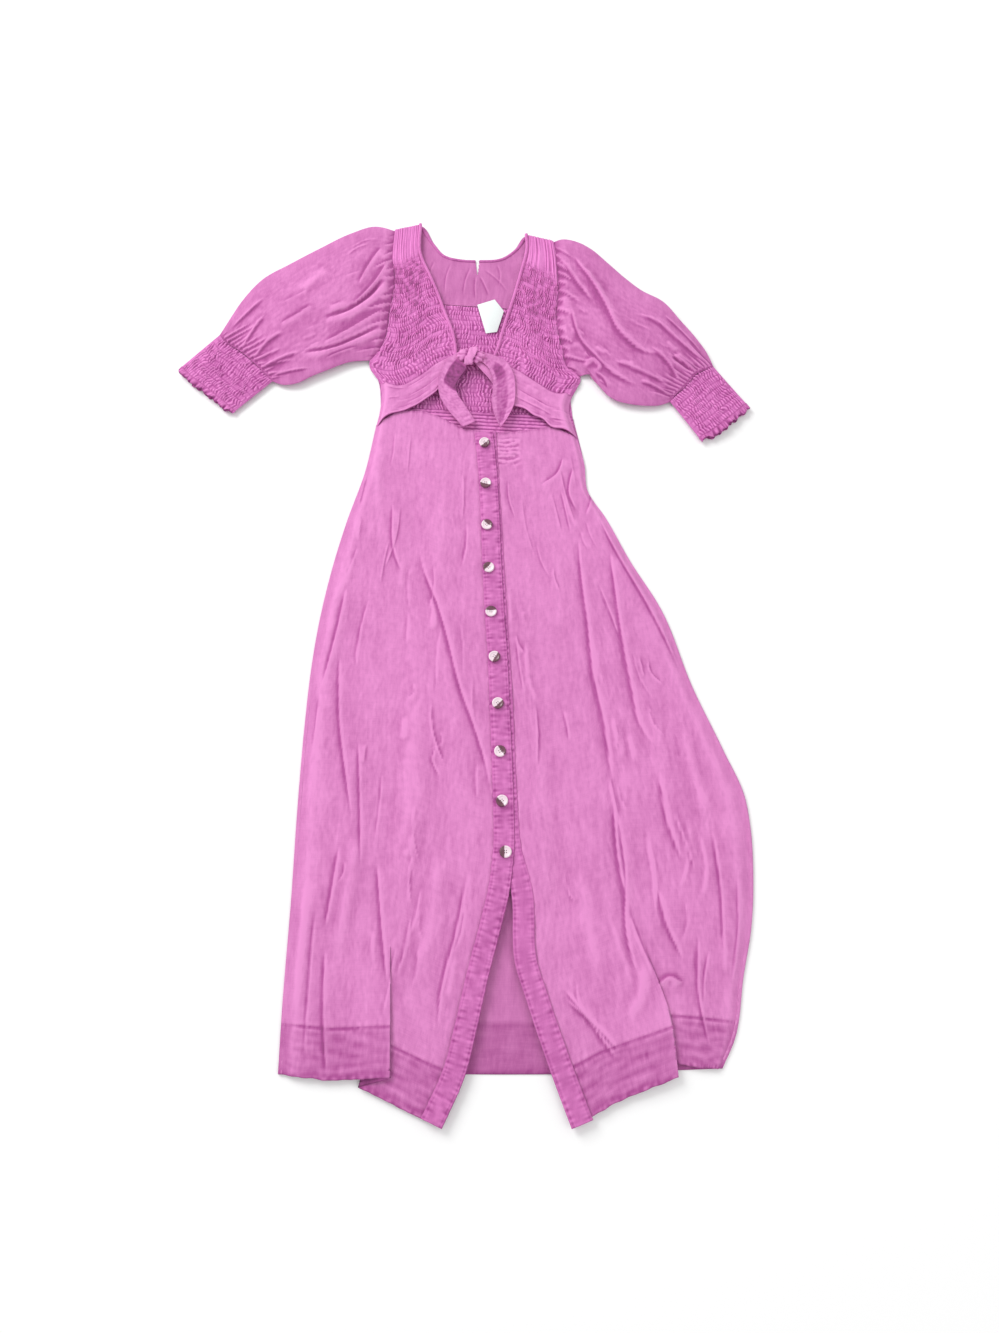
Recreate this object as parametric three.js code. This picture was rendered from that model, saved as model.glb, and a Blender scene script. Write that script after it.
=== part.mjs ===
// Tie-front dress with a smocked bodice, puffed sleeves and a buttoned skirt, laid flat on its back.
// Millimetres. +X runs towards the wearer's left, +Y towards the neck, +Z up from the surface it lies on.
// "right" and "left" are the wearer's, so right is the -X side.
import * as THREE from 'three';

// Cloth and clearances
const clothThickness = 2;
const innerDepth = 6; // room between the back and the front
const seamGap = 0.3; // clearance between neighbouring pieces
const curvedGap = 0.6; // the same where a round sleeve meets the flat bodice

// Bodice
const waistWidth = 332;
const chestWidth = 354; // between the underarms
const shoulderWidth = 281; // between the tops of the armholes
const neckWidth = 182;
const openingWidth = 64; // the neck opening where it meets the knot
const bodiceLength = 397; // waist to the top of the armhole
const underarmHeight = 125; // above the waist
const backWaistRise = 37; // the back waist seam above the front one
const neckEdgeRise = 12; // the neck ends of the shoulders above their arm ends
const backNeckDip = 48; // the back neckline below the shoulders
const slitAcross = 4; // from the centre line
const slitWidth = 7;
const slitDepth = 32;
const yokeDepth = 145; // the plain cloth above the back smocking
const shirringDepth = 30;
const bindingWidth = 7;
const seamAllowance = 9;
const backSmockTop = bodiceLength - yokeDepth;

// Skirt
const skirtLength = 986;
const hemWidth = 595;
const hemDepth = 70;
const placketWidth = 31;
const placketOverlap = 3; // the upper placket's stitched edge laps the front panel
const frontTopRise = 6; // the top edge of the skirt's front above the waist
const sideInset = 6; // the back's top edge stops short of the side seams

// Buttons
const buttonCount = 10;
const buttonDiameter = 18;
const buttonThickness = 3.2;
const buttonRim = 2.4;
const buttonDish = 0.9;
const buttonPitch = 73.8;
const firstButtonDrop = 31;

// Sleeves
const sleeveLength = 366;
const cuffLength = 84;
const frillLength = 12;
const frillFlare = 2; // how much higher the frill stands at its edge
const sleeveRows = 10;
const cuffRows = 3;
const sleevePuff = 24; // height of the sleeve as it lies
const cuffPuff = 13;
const sleeveLie = { right: 36.6, left: 44.2 }; // degrees that each sleeve points down from straight out
const cuffWidth = { right: 138, left: 102 };
const cuffSeamTurn = { right: -45.9, left: -140.6 }; // degrees, along each cuff seam towards the underarm
const cuffTurn = { right: -133, left: -57 }; // degrees, along each cuff towards the hand

// Ties and tag
const tieLength = 135;
const knotWidth = 40;
const knotLength = 38;
const knotHeight = 11.4;
const knotSeat = 3; // how far each band's end stops short of the knot's middle
const tagWidth = 46;
const tagLength = 68;
const tagThickness = 0.6;

// Where the dress lies: its waist centre, the drift of its centre line and the lean of its level lines
const waistCentre = new THREE.Vector2(26.5, 318);
const centreDrift = 0.02;
const levelLean = 0.0785;
const hemDrift = 36;

// Heights of the layers
const innerFloor = clothThickness;
const frontBottom = clothThickness + innerDepth;
const frontTop = frontBottom + clothThickness;
const upperBottom = frontTop + seamGap;
const upperTop = upperBottom + clothThickness;
const trimBottom = upperTop + seamGap;

const curveSteps = 24;
const lineSteps = 44;
const bindingSteps = 40;
const beyond = 1000; // farther out than any edge, for straight cuts
const leastStep = 0.5;
const cornerRoom = 2; // least distance kept between neighbouring corners of an outline
const dress = new THREE.Group();

const colours = {
  cloth: 0xdc8cc6,
  smocking: 0xd27cb9,
  trim: 0xcf72b4,
  button: 0xd8c6bb,
  tag: 0xf2f5f4,
};
const finish = (color, roughness) => new THREE.MeshStandardMaterial({ color, roughness, metalness: 0 });
const cloth = finish(colours.cloth, 0.9);
const smocking = finish(colours.smocking, 0.95);
const trim = finish(colours.trim, 0.9);
const shell = finish(colours.button, 0.3);
const card = finish(colours.tag, 0.7);

// ---- Places and outlines

// A place on the bodice: across from the centre line and up from the waist
function body(across, up) {
  const x = waistCentre.x + across - centreDrift * up;
  return new THREE.Vector2(x, waistCentre.y + up - levelLean * across);
}

// A place on the skirt: across from the waist centre and down it as a share of the skirt's length
function skirt(across, share) {
  return new THREE.Vector2(waistCentre.x + across, waistCentre.y - share * skirtLength);
}

// A smooth curve between two places that swings out to its left by bows of [share of the way, offset]
function bowed(from, to, bows) {
  const way = to.clone().sub(from);
  const out = new THREE.Vector2(-way.y, way.x).normalize();
  const middle = bows.map(([share, offset]) =>
    from.clone().addScaledVector(way, share).addScaledVector(out, offset));
  return new THREE.SplineCurve([from, ...middle, to]);
}

const stepsAlong = (curve, steps = curveSteps) => curve.getSpacedPoints(steps);
const smooth = (points, steps = curveSteps) => stepsAlong(new THREE.SplineCurve(points), steps);
const reversed = (points) => points.slice().reverse();

// Points beside a curve, a distance to the right of its direction
function beside(curve, distance, steps = curveSteps) {
  return stepsAlong(curve, steps).map((place, i) => {
    const way = curve.getTangentAt(i / steps);
    return place.clone().add(new THREE.Vector2(way.y, -way.x).multiplyScalar(distance));
  });
}

// The part of an outline on the left of the line from a to b
function cut(outline, a, b) {
  const way = b.clone().sub(a);
  const height = (p) => way.x * (p.y - a.y) - way.y * (p.x - a.x);
  const kept = [];
  outline.forEach((p, i) => {
    const next = outline[(i + 1) % outline.length];
    const here = height(p);
    const there = height(next);
    if (here >= 0) kept.push(p);
    if (here * there < 0) kept.push(p.clone().lerp(next, here / (here - there)));
  });
  return kept;
}

// The outline without places that all but repeat, run anticlockwise
function tidied(outline) {
  const apart = outline.filter((p, i) => p.distanceTo(outline[(i + 1) % outline.length]) > leastStep);
  return THREE.ShapeUtils.isClockWise(apart) ? reversed(apart) : apart;
}

// The outline moved inwards all round
function pulledIn(outline, distance) {
  return outline.map((p, i) => {
    const before = p.clone().sub(outline.at(i - 1)).normalize();
    const after = outline[(i + 1) % outline.length].clone().sub(p).normalize();
    const inward = new THREE.Vector2(-before.y - after.y, before.x + after.x);
    return p.clone().addScaledVector(inward, distance / (1 + before.dot(after)));
  });
}

// ---- Solids

function place(name, geometry, material, bottom) {
  const mesh = new THREE.Mesh(geometry, material);
  mesh.name = name;
  mesh.position.z = bottom;
  dress.add(mesh);
}

// A flat piece of cloth or card, with half a seam gap left all round
function plate(name, outline, bottom, material, thickness = clothThickness) {
  const shape = new THREE.Shape(pulledIn(tidied(outline), seamGap / 2));
  const geometry = new THREE.ExtrudeGeometry(shape, { depth: thickness, bevelEnabled: false });
  place(name, geometry, material, bottom);
}

// A flattened tube between an upper and a lower edge, open at both ends. heightAt gives how high it stands.
function flatTube(name, edges, heightAt, rows, material) {
  const segments = 24;
  const outside = 2;
  const inside = 1;
  const shares = Array.from({ length: rows + 1 }, (_, i) => i / rows);
  const profile = [
    ...shares.map((share) => new THREE.Vector2(outside, share)),
    ...reversed(shares).map((share) => new THREE.Vector2(inside, share)),
    new THREE.Vector2(outside, 0),
  ];
  const geometry = new THREE.LatheGeometry(profile, segments);
  const places = geometry.getAttribute('position');
  for (let i = 0; i < places.count; i += 1) {
    const onOutside = Math.hypot(places.getX(i), places.getZ(i)) > (outside + inside) / 2;
    const turn = edges.turn * Math.atan2(places.getX(i), places.getZ(i));
    const along = places.getY(i);
    const halfWidth = edges.upper(along).distanceTo(edges.lower(along)) / 2;
    const wall = onOutside ? 0 : clothThickness;
    const across = 0.5 - 0.5 * Math.cos(turn) * (1 - wall / halfWidth);
    const lift = Math.sign(Math.sin(turn)) * Math.abs(Math.sin(turn)) ** 0.7;
    const half = heightAt(along) / 2;
    const spot = patch(edges, across, along);
    places.setXYZ(i, spot.x, spot.y, half + (half - wall) * lift);
  }
  place(name, geometry, material, 0);
}

// A place inside four edges: across from the upper to the lower, along from the root to the far end
function patch(edges, across, along) {
  const between = edges.upper(along).lerp(edges.lower(along), across);
  const ends = edges.root(across).lerp(edges.far(across), along);
  const nearCorners = edges.root(0).lerp(edges.root(1), across);
  const farCorners = edges.far(0).lerp(edges.far(1), across);
  return between.add(ends).sub(nearCorners.lerp(farCorners, along));
}

// ---- Edges that pieces share, for the right (side = -1) and the left (side = 1)

function armhole(side) {
  const inner = shoulderWidth / 2;
  const rise = bodiceLength - underarmHeight;
  const high = (share) => underarmHeight + share * rise;
  const points = [
    body(side * inner, bodiceLength),
    body(side * (inner + 3.5), high(0.81)),
    body(side * (inner + 2.5), high(0.61)),
    body(side * (inner + 4.5), high(0.38)),
    body(side * (inner + 11.5), high(0.18)),
    body(side * (inner + 23.5), high(0.045)),
    body(side * chestWidth / 2, underarmHeight),
  ];
  return new THREE.SplineCurve(points);
}

function bodySide(side) {
  const points = [
    body(side * chestWidth / 2, underarmHeight),
    body(side * (waistWidth / 2 - 4), underarmHeight * 0.7),
    body(side * (waistWidth / 2 - 8), underarmHeight * 0.48),
    body(side * (waistWidth / 2 - 6), underarmHeight * 0.24),
    body(side * waistWidth / 2, 0),
  ];
  return stepsAlong(new THREE.SplineCurve(points), 12);
}

const skirtBows = {
  right: [[0.09, -7], [0.18, -24], [0.35, -42], [0.52, -39], [0.77, -19], [0.92, -8]],
  left: [
    [0.05, 3], [0.1, -5], [0.15, 18], [0.23, 39], [0.32, 70], [0.46, 91],
    [0.56, 113], [0.68, 124], [0.82, 90], [0.88, 65], [0.96, 27],
  ],
};

function skirtSide(side) {
  const hemCorner = skirt(hemDrift + side * hemWidth / 2, 1);
  const bows = skirtBows[side < 0 ? 'right' : 'left'];
  return stepsAlong(bowed(body(side * waistWidth / 2, 0), hemCorner, bows), 40);
}

function neckOpening(side) {
  const edge = (share, up) => body(side * neckWidth / 2 * share, up);
  const points = [
    edge(1, bodiceLength + 12),
    edge(0.99, bodiceLength - 45),
    edge(0.81, bodiceLength - 94),
    edge(0.68, bodiceLength - 129),
    edge(0.53, bodiceLength - 175),
    body(side * openingWidth / 2, underarmHeight + 32),
  ];
  return smooth(points, 16);
}

// Where the smocking ends at the waist band, from the side seam to the knot
function smockSeam(side) {
  const rises = [[0.97, 0.67], [0.93, 0.64], [0.77, 0.608], [0.57, 0.784], [0.38, 1.016], [0.2, 1.12]];
  return rises.map(([share, rise]) => body(side * waistWidth / 2 * share, rise * underarmHeight));
}

// The lower edge of the waist band, from the side seam to the knot
function bandEdge(side) {
  const rises = [[1, -0.024], [0.83, 0.104], [0.69, 0.176], [0.53, 0.32], [0.39, 0.48], [0.26, 0.72]];
  return rises.map(([share, rise]) => body(side * waistWidth / 2 * share, rise * underarmHeight));
}

const knotCentre = body(-10, 1.16 * underarmHeight);

// ---- Back of the bodice

function backNeck() {
  const half = neckWidth / 2;
  return new THREE.SplineCurve([
    body(half, bodiceLength + neckEdgeRise),
    body(half * 0.77, bodiceLength - backNeckDip * 0.44),
    body(half * 0.56, bodiceLength - backNeckDip * 0.83),
    body(half * 0.2, bodiceLength - backNeckDip),
    body(-half * 0.2, bodiceLength - backNeckDip),
    body(-half * 0.56, bodiceLength - backNeckDip * 0.83),
    body(-half * 0.77, bodiceLength - backNeckDip * 0.44),
    body(-half, bodiceLength + neckEdgeRise),
  ]);
}

function backOutline() {
  return [
    ...reversed(bodySide(1)),
    ...reversed(stepsAlong(armhole(1))),
    ...stepsAlong(backNeck()),
    ...stepsAlong(armhole(-1)),
    ...bodySide(-1),
  ];
}

const level = (up) => [body(-beyond, up), body(beyond, up)];
const above = (outline, up) => cut(outline, ...level(up));
const below = (outline, up) => cut(outline, ...reversed(level(up)));

// The yoke's outline with a narrow slit down from the neckline
function withSlit(outline) {
  const rim = body(slitAcross, bodiceLength - backNeckDip);
  const foot = body(slitAcross, bodiceLength - backNeckDip - slitDepth);
  const half = slitWidth / 2;
  const clear = outline.filter((p) => Math.abs(p.x - rim.x) > half || p.y < foot.y);
  const before = clear.findIndex((p, i) => {
    const next = clear[(i + 1) % clear.length];
    return p.x > rim.x && next.x < rim.x && p.y > foot.y;
  });
  const slit = [new THREE.Vector2(rim.x + half, rim.y), foot, new THREE.Vector2(rim.x - half, rim.y)];
  return [...clear.slice(0, before + 1), ...slit, ...clear.slice(before + 1)];
}

function addBackBodice() {
  const whole = backOutline();
  plate('back_yoke', withSlit(tidied(above(whole, backSmockTop))), 0, cloth);
  plate('back_smocked_panel', below(above(whole, backWaistRise), backSmockTop), 0, smocking);

  const inset = waistWidth / 2 - 2 * seamAllowance;
  const strip = [
    body(-inset, backWaistRise - cornerRoom), body(-inset, backWaistRise - shirringDepth),
    body(inset, backWaistRise - shirringDepth), body(inset, backWaistRise - cornerRoom),
  ];
  plate('back_waist_shirring', strip, innerFloor + seamGap, trim, clothThickness / 2);

  const ribbon = [
    ...stepsAlong(backNeck(), bindingSteps),
    ...reversed(beside(backNeck(), -bindingWidth, bindingSteps)),
  ];
  const shoulderClear = bodiceLength - bindingWidth;
  const slitX = body(slitAcross, bodiceLength).x;
  const upright = (x) => [new THREE.Vector2(x, 0), new THREE.Vector2(x, 1)];
  const left = cut(ribbon, ...reversed(upright(slitX + slitWidth / 2)));
  const right = cut(ribbon, ...upright(slitX - slitWidth / 2));
  plate('neck_binding_left', below(left, shoulderClear), innerFloor + seamGap, trim, clothThickness / 2);
  plate('neck_binding_right', below(right, shoulderClear), innerFloor + seamGap, trim, clothThickness / 2);
}

// ---- Front of the bodice

function addFrontBodice(side, name) {
  const seam = smockSeam(side);
  const edge = bodySide(side);
  const outline = [
    ...neckOpening(side),
    ...reversed(seam),
    ...reversed(edge.filter((p) => p.y > seam[0].y + cornerRoom)),
    ...reversed(stepsAlong(armhole(side))),
  ];
  plate(`front_bodice_${name}`, outline, frontBottom, smocking);

  const lower = bandEdge(side);
  const bandEnd = knotCentre.x + side * knotSeat;
  const band = [
    seam[0],
    ...edge.filter((p) => p.y < seam[0].y - cornerRoom && p.y > lower[0].y + cornerRoom),
    ...lower,
    new THREE.Vector2(bandEnd, knotCentre.y - knotLength * 0.21),
    new THREE.Vector2(bandEnd, knotCentre.y + knotLength * 0.16),
    ...reversed(seam.slice(1)),
  ];
  plate(`waist_band_${name}`, band, upperBottom, cloth);

  const neckAcross = side * (neckWidth / 2 + placketOverlap);
  const armAcross = side * (shoulderWidth / 2 - cornerRoom);
  const neckUp = bodiceLength + neckEdgeRise - placketOverlap;
  const armUp = bodiceLength - cornerRoom;
  const seamStrip = [
    body(neckAcross, neckUp), body(armAcross, armUp),
    body(armAcross, armUp - seamAllowance), body(neckAcross, neckUp - seamAllowance),
  ];
  plate(`shoulder_seam_${name}`, seamStrip, innerFloor + seamGap, trim, innerDepth - 2 * seamGap);
}

// ---- Ties and knot

function addTies() {
  const from = (across, up) =>
    knotCentre.clone().add(new THREE.Vector2(across * knotWidth, up * tieLength));
  const knot = new THREE.SphereGeometry(0.5, 20, 10);
  knot.rotateX(Math.PI / 2);
  knot.scale(knotWidth, knotLength, knotHeight);
  knot.translate(knotCentre.x, knotCentre.y, knotHeight / 2);
  place('tie_knot', knot, cloth, trimBottom);

  const rightTie = [
    ...smooth([
      from(-0.475, 0.074), from(-0.875, 0.015), from(-1.2, -0.133), from(-1.35, -0.311),
      from(-1.225, -0.489), from(-0.825, -0.704), from(-0.4, -0.919),
    ]),
    from(-0.3, -0.985), from(0.4, -0.97),
    ...smooth([
      from(0.35, -0.889), from(-0.1, -0.696), from(-0.55, -0.489),
      from(-0.85, -0.341), from(-0.85, -0.222), from(-0.625, -0.104),
    ]),
  ];
  plate('tie_end_right', rightTie, trimBottom, cloth);

  const leftTie = [
    from(0.575, 0.074),
    ...smooth([
      from(1, 0.059), from(1.55, -0.03), from(1.925, -0.207), from(2, -0.43),
      from(1.9, -0.681), from(1.65, -0.889), from(1.4, -1.022),
    ]),
    ...smooth([
      from(1.175, -0.919), from(0.95, -0.726), from(0.875, -0.489),
      from(0.925, -0.267), from(0.85, -0.148), from(0.625, -0.074),
    ]),
  ];
  plate('tie_end_left', leftTie, trimBottom, cloth);
}

// ---- Skirt

// Where the plackets part, and where each corner's fold meets the hem
const crossing = { right: skirt(51, 0.7535), left: skirt(56, 0.7535) };
const foldFoot = { right: skirt(-153.5, 1.014), left: skirt(279.5, 1.002) };
const cornerPoint = { right: skirt(-38.5, 1.068), left: skirt(133.5, 1.068) };
const cornerEdge = {
  right: [crossing.right, skirt(23.5, 0.87), skirt(-8.5, 1.002), cornerPoint.right],
  left: [crossing.left, skirt(60.5, 0.86), skirt(73.5, 0.901), skirt(108.5, 1.002), cornerPoint.left],
};
const cornerHem = {
  right: [cornerPoint.right, skirt(-76, 1.053), foldFoot.right],
  left: [cornerPoint.left, skirt(173.5, 1.047), skirt(223.5, 1.022), foldFoot.left],
};
const hemShare = 1 - hemDepth / skirtLength;
const hemLine = [skirt(-beyond, hemShare), skirt(beyond, hemShare)];

const buttonLine = new THREE.SplineCurve([
  skirt(12.5, -0.005), skirt(17.5, 0.166), skirt(24.5, 0.3215), skirt(35.5, 0.4757), skirt(41.5, 0.6247),
  skirt(46.5, 0.6998), skirt(51 - placketWidth / 2, 0.7535), skirt(23.5 - placketWidth / 2, 0.874),
  skirt(-8.5 - placketWidth / 2, 1.004), skirt(-38.5 - placketWidth / 2, 1.061),
]);

const upperLine = (points) => points.filter((p) => p.y > crossing.right.y);
function addSkirtBack() {
  const half = waistWidth / 2 - sideInset;
  const waist = [body(half, backWaistRise), body(-half, backWaistRise)];
  const outline = [...waist, ...skirtSide(-1), ...reversed(skirtSide(1))];
  plate('skirt_back', cut(outline, ...hemLine), 0, cloth);
  plate('hem_back', cut(outline, ...reversed(hemLine)), 0, trim);
}

function addSkirtFront(side, name) {
  const edge = upperLine(beside(buttonLine, -side * placketWidth / 2, lineSteps));
  const topOuter = body(side * (waistWidth / 2 - 1), frontTopRise);
  const topInner = new THREE.Vector2(edge[0].x, body(side * placketWidth / 2, frontTopRise).y);
  const outline = [
    topInner,
    ...edge.filter((p) => p.y < topInner.y),
    ...cornerEdge[name],
    ...cornerHem[name].slice(1),
    ...reversed(skirtSide(side)),
    topOuter,
  ];
  const fold = side < 0 ? [foldFoot[name], crossing[name]] : [crossing[name], foldFoot[name]];
  const aboveFold = cut(outline, ...fold);
  const corner = cut(outline, ...reversed(fold));
  plate(`skirt_front_${name}`, cut(aboveFold, ...hemLine), frontBottom, cloth);
  plate(`hem_front_${name}`, cut(aboveFold, ...reversed(hemLine)), frontBottom, trim);

  const way = foldFoot[name].clone().sub(crossing[name]);
  const share = (waistCentre.y - hemShare * skirtLength - crossing[name].y) / way.y;
  const onFold = crossing[name].clone().addScaledVector(way, share);
  const onEdge = cornerEdge[name].at(-2);
  const cornerHemLine = side < 0 ? [onFold, onEdge] : [onEdge, onFold];
  plate(`skirt_corner_${name}`, cut(corner, ...cornerHemLine), frontBottom, cloth);
  plate(`hem_corner_${name}`, cut(corner, ...reversed(cornerHemLine)), frontBottom, trim);
}

function addPlackets() {
  const inward = placketWidth / 2 + placketOverlap;
  const strip = [
    ...beside(buttonLine, -placketWidth / 2, lineSteps),
    ...reversed(beside(buttonLine, inward, lineSteps)),
  ];
  const fold = [foldFoot.right, crossing.right];
  plate('placket_buttonhole', cut(strip, ...fold), upperBottom, trim);
  plate('placket_buttonhole_lower', cut(strip, ...reversed(fold)), upperBottom, trim);

  const half = placketWidth / 2 - seamGap;
  const under = [
    ...upperLine(beside(buttonLine, -half, lineSteps)),
    ...reversed(upperLine(beside(buttonLine, half, lineSteps))),
  ];
  plate('placket_button', under, frontBottom, trim);

  const inner = new THREE.SplineCurve(cornerEdge.left);
  const lower = [...stepsAlong(inner), ...reversed(beside(inner, -placketWidth))];
  plate('placket_button_lower', cut(lower, foldFoot.left, crossing.left), upperBottom, trim);
}

function addButtons() {
  const radius = buttonDiameter / 2;
  const profile = [
    [0, 0], [radius - 1, 0], [radius, 1], [radius, buttonThickness - 1], [radius - 1, buttonThickness],
    [radius - buttonRim, buttonThickness], [radius - buttonRim - 1, buttonThickness - buttonDish],
    [0, buttonThickness - buttonDish],
  ].map(([r, z]) => new THREE.Vector2(r, z));
  const length = buttonLine.getLength();
  for (let i = 0; i < buttonCount; i += 1) {
    const spot = buttonLine.getPointAt((firstButtonDrop + i * buttonPitch) / length);
    const geometry = new THREE.LatheGeometry(profile, 18);
    geometry.rotateX(Math.PI / 2);
    geometry.translate(spot.x, spot.y, 0);
    place(`button_${i + 1}`, geometry, shell, trimBottom);
  }
}

function addSideSeam(side, name) {
  const edge = [...bodySide(side), ...skirtSide(side).slice(1)];
  const curve = new THREE.SplineCurve(edge);
  const strip = [
    ...beside(curve, side, lineSteps),
    ...reversed(beside(curve, side * seamAllowance, lineSteps)),
  ];
  plate(`side_seam_${name}`, strip, innerFloor + seamGap, trim, innerDepth - 2 * seamGap);
}

// ---- Sleeves

const sleeveBows = {
  right: {
    upper: [[0.07, 27], [0.19, 39], [0.36, 44], [0.52, 47], [0.67, 49], [0.82, 34], [0.92, 16]],
    lower: [[0.22, -5], [0.45, 0], [0.78, 9]],
  },
  left: {
    upper: [[0.02, 11], [0.1, 28], [0.27, 30], [0.49, 28], [0.6, 36], [0.73, 28], [0.84, 20], [0.92, 12]],
    lower: [[0.1, -7], [0.24, 11], [0.36, 26], [0.5, 32], [0.79, 24]],
  },
};

const heading = (degrees) => {
  const turn = THREE.MathUtils.degToRad(degrees);
  return new THREE.Vector2(Math.cos(turn), Math.sin(turn));
};
const flipped = (bows, side) => bows.map(([share, offset]) => [share, side * offset]);

function addSleeve(side, name) {
  const arm = armhole(side);
  const out = heading(side < 0 ? 180 + sleeveLie[name] : -sleeveLie[name]);
  const seamWay = heading(cuffSeamTurn[name]);
  const shoulder = arm.getPoint(0);
  const underarm = arm.getPoint(1);
  const seamTop = shoulder.clone().addScaledVector(out, sleeveLength);
  const seamBottom = seamTop.clone().addScaledVector(seamWay, cuffWidth[name]);
  const upper = bowed(shoulder, seamTop, flipped(sleeveBows[name].upper, side));
  const lower = bowed(underarm, seamBottom, flipped(sleeveBows[name].lower, -side));
  const clearOf = (share) => {
    const way = arm.getTangentAt(share);
    return new THREE.Vector2(way.y, -way.x).multiplyScalar(-side * curvedGap);
  };
  const moved = (curve, end) => (share) => curve.getPointAt(share).addScaledVector(clearOf(end), 1 - share);
  const straight = (from, to) => (share) => from.clone().lerp(to, share);
  const puff = (share) => Math.sin(Math.PI * Math.min(1, share)) ** 0.6;
  const heightAt = (share) =>
    THREE.MathUtils.lerp(upperTop, cuffPuff, share) + (sleevePuff - upperTop) * puff(share);

  flatTube(`sleeve_${name}`, {
    upper: moved(upper, 0),
    lower: moved(lower, 1),
    root: (share) => arm.getPointAt(share).add(clearOf(share)),
    far: straight(seamTop, seamBottom),
    turn: side,
  }, heightAt, sleeveRows, cloth);

  const along = heading(cuffTurn[name]);
  const tube = (start, length) => {
    const near = (corner) => corner.clone().addScaledVector(along, start);
    const end = (corner) => corner.clone().addScaledVector(along, start + length);
    return {
      upper: straight(near(seamTop), end(seamTop)),
      lower: straight(near(seamBottom), end(seamBottom)),
      root: straight(near(seamTop), near(seamBottom)),
      far: straight(end(seamTop), end(seamBottom)),
      turn: side,
    };
  };
  flatTube(`cuff_${name}`, tube(curvedGap, cuffLength - curvedGap), () => cuffPuff, cuffRows, smocking);
  flatTube(`cuff_frill_${name}`, tube(cuffLength + curvedGap, frillLength - curvedGap),
    (share) => cuffPuff + frillFlare * share, cuffRows, trim);
}

// ---- Swing tag, five-sided with one clipped corner, lying inside the neck

function addTag() {
  const hung = body(20.5, 266);
  const long = heading(-80);
  const wide = heading(12);
  const corner = (across, down) =>
    hung.clone().addScaledVector(wide, across * tagWidth).addScaledVector(long, down * tagLength);
  const outline = [
    corner(-0.4, 0.12), corner(0.3, 0), corner(0.6, 0.36), corner(0.3, 0.95), corner(-0.1, 0.98),
  ];
  plate('swing_tag', outline, innerFloor + seamGap, card, tagThickness);
}

addBackBodice();
addSkirtBack();
for (const [side, name] of [[-1, 'right'], [1, 'left']]) {
  addFrontBodice(side, name);
  addSkirtFront(side, name);
  addSideSeam(side, name);
  addSleeve(side, name);
}
addPlackets();
addButtons();
addTies();
addTag();

// The origin is under the middle of the whole dress, on the surface that it lies on
const extent = new THREE.Box3().setFromObject(dress);
const middle = extent.getCenter(new THREE.Vector3());
dress.position.set(-middle.x, -middle.y, 0);

export default dress;
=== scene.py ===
import math

import bmesh
import bpy
import numpy as np
from mathutils import Matrix, Vector


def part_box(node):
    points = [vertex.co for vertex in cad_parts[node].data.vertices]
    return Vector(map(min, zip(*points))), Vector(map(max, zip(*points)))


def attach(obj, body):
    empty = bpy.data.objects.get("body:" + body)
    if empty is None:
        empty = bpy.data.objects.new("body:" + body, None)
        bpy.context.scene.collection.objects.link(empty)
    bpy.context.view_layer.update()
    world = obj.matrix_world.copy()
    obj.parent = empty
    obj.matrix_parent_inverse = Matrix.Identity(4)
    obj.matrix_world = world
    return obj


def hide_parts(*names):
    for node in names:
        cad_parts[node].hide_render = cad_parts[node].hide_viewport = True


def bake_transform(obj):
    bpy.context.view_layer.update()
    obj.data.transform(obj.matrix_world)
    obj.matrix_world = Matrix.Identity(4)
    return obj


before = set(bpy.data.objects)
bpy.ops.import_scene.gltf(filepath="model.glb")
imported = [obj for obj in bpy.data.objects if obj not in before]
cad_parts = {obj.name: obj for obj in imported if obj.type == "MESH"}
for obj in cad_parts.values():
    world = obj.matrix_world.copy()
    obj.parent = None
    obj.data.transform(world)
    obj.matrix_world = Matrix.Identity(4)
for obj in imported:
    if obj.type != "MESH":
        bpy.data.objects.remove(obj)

# Lengths are millimetres on the dress, measured from its waist. cloth() turns them into the frame's metres.
MM = 0.001
MIDDLE = np.array([3.75, 0.64])  # from the dress's own zero to the frame's
BODICE_DROP = 5.5  # the shoulders are let down by this to stay inside the frame
PLACKET_WIDTH = 31
SKIRT_CUT = 1040  # a skirt panel from its top edge to its hem
HEM_LINE = 66  # the hem's stitching above the lower edge
HEM_DEPTH = 64
SMOCKING_PITCH = 5.4
SLEEVE_TOP = 24.6
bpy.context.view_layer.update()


# ---- Curves, patches and noise

def along(points, share):
    """Places at shares of the way along a smooth curve through the points."""
    p = np.asarray(points, float)
    gaps = np.linalg.norm(np.diff(p[:, :2], axis=0), axis=1)
    stops = np.concatenate([[0], np.cumsum(gaps)]) / gaps.sum()
    slope = np.gradient(p, stops, axis=0)
    share = np.clip(np.asarray(share, float), 0, 1)
    i = np.clip(np.searchsorted(stops, share, side="right") - 1, 0, len(p) - 2)
    h = (stops[i + 1] - stops[i])[..., None]
    u = (share - stops[i])[..., None] / h
    return ((2 * u**3 - 3 * u**2 + 1) * p[i] + (u**3 - 2 * u**2 + u) * h * slope[i]
            + (3 * u**2 - 2 * u**3) * p[i + 1] + (u**3 - u**2) * h * slope[i + 1])


def spots(line):
    return [tuple(point) for point in line]


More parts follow.
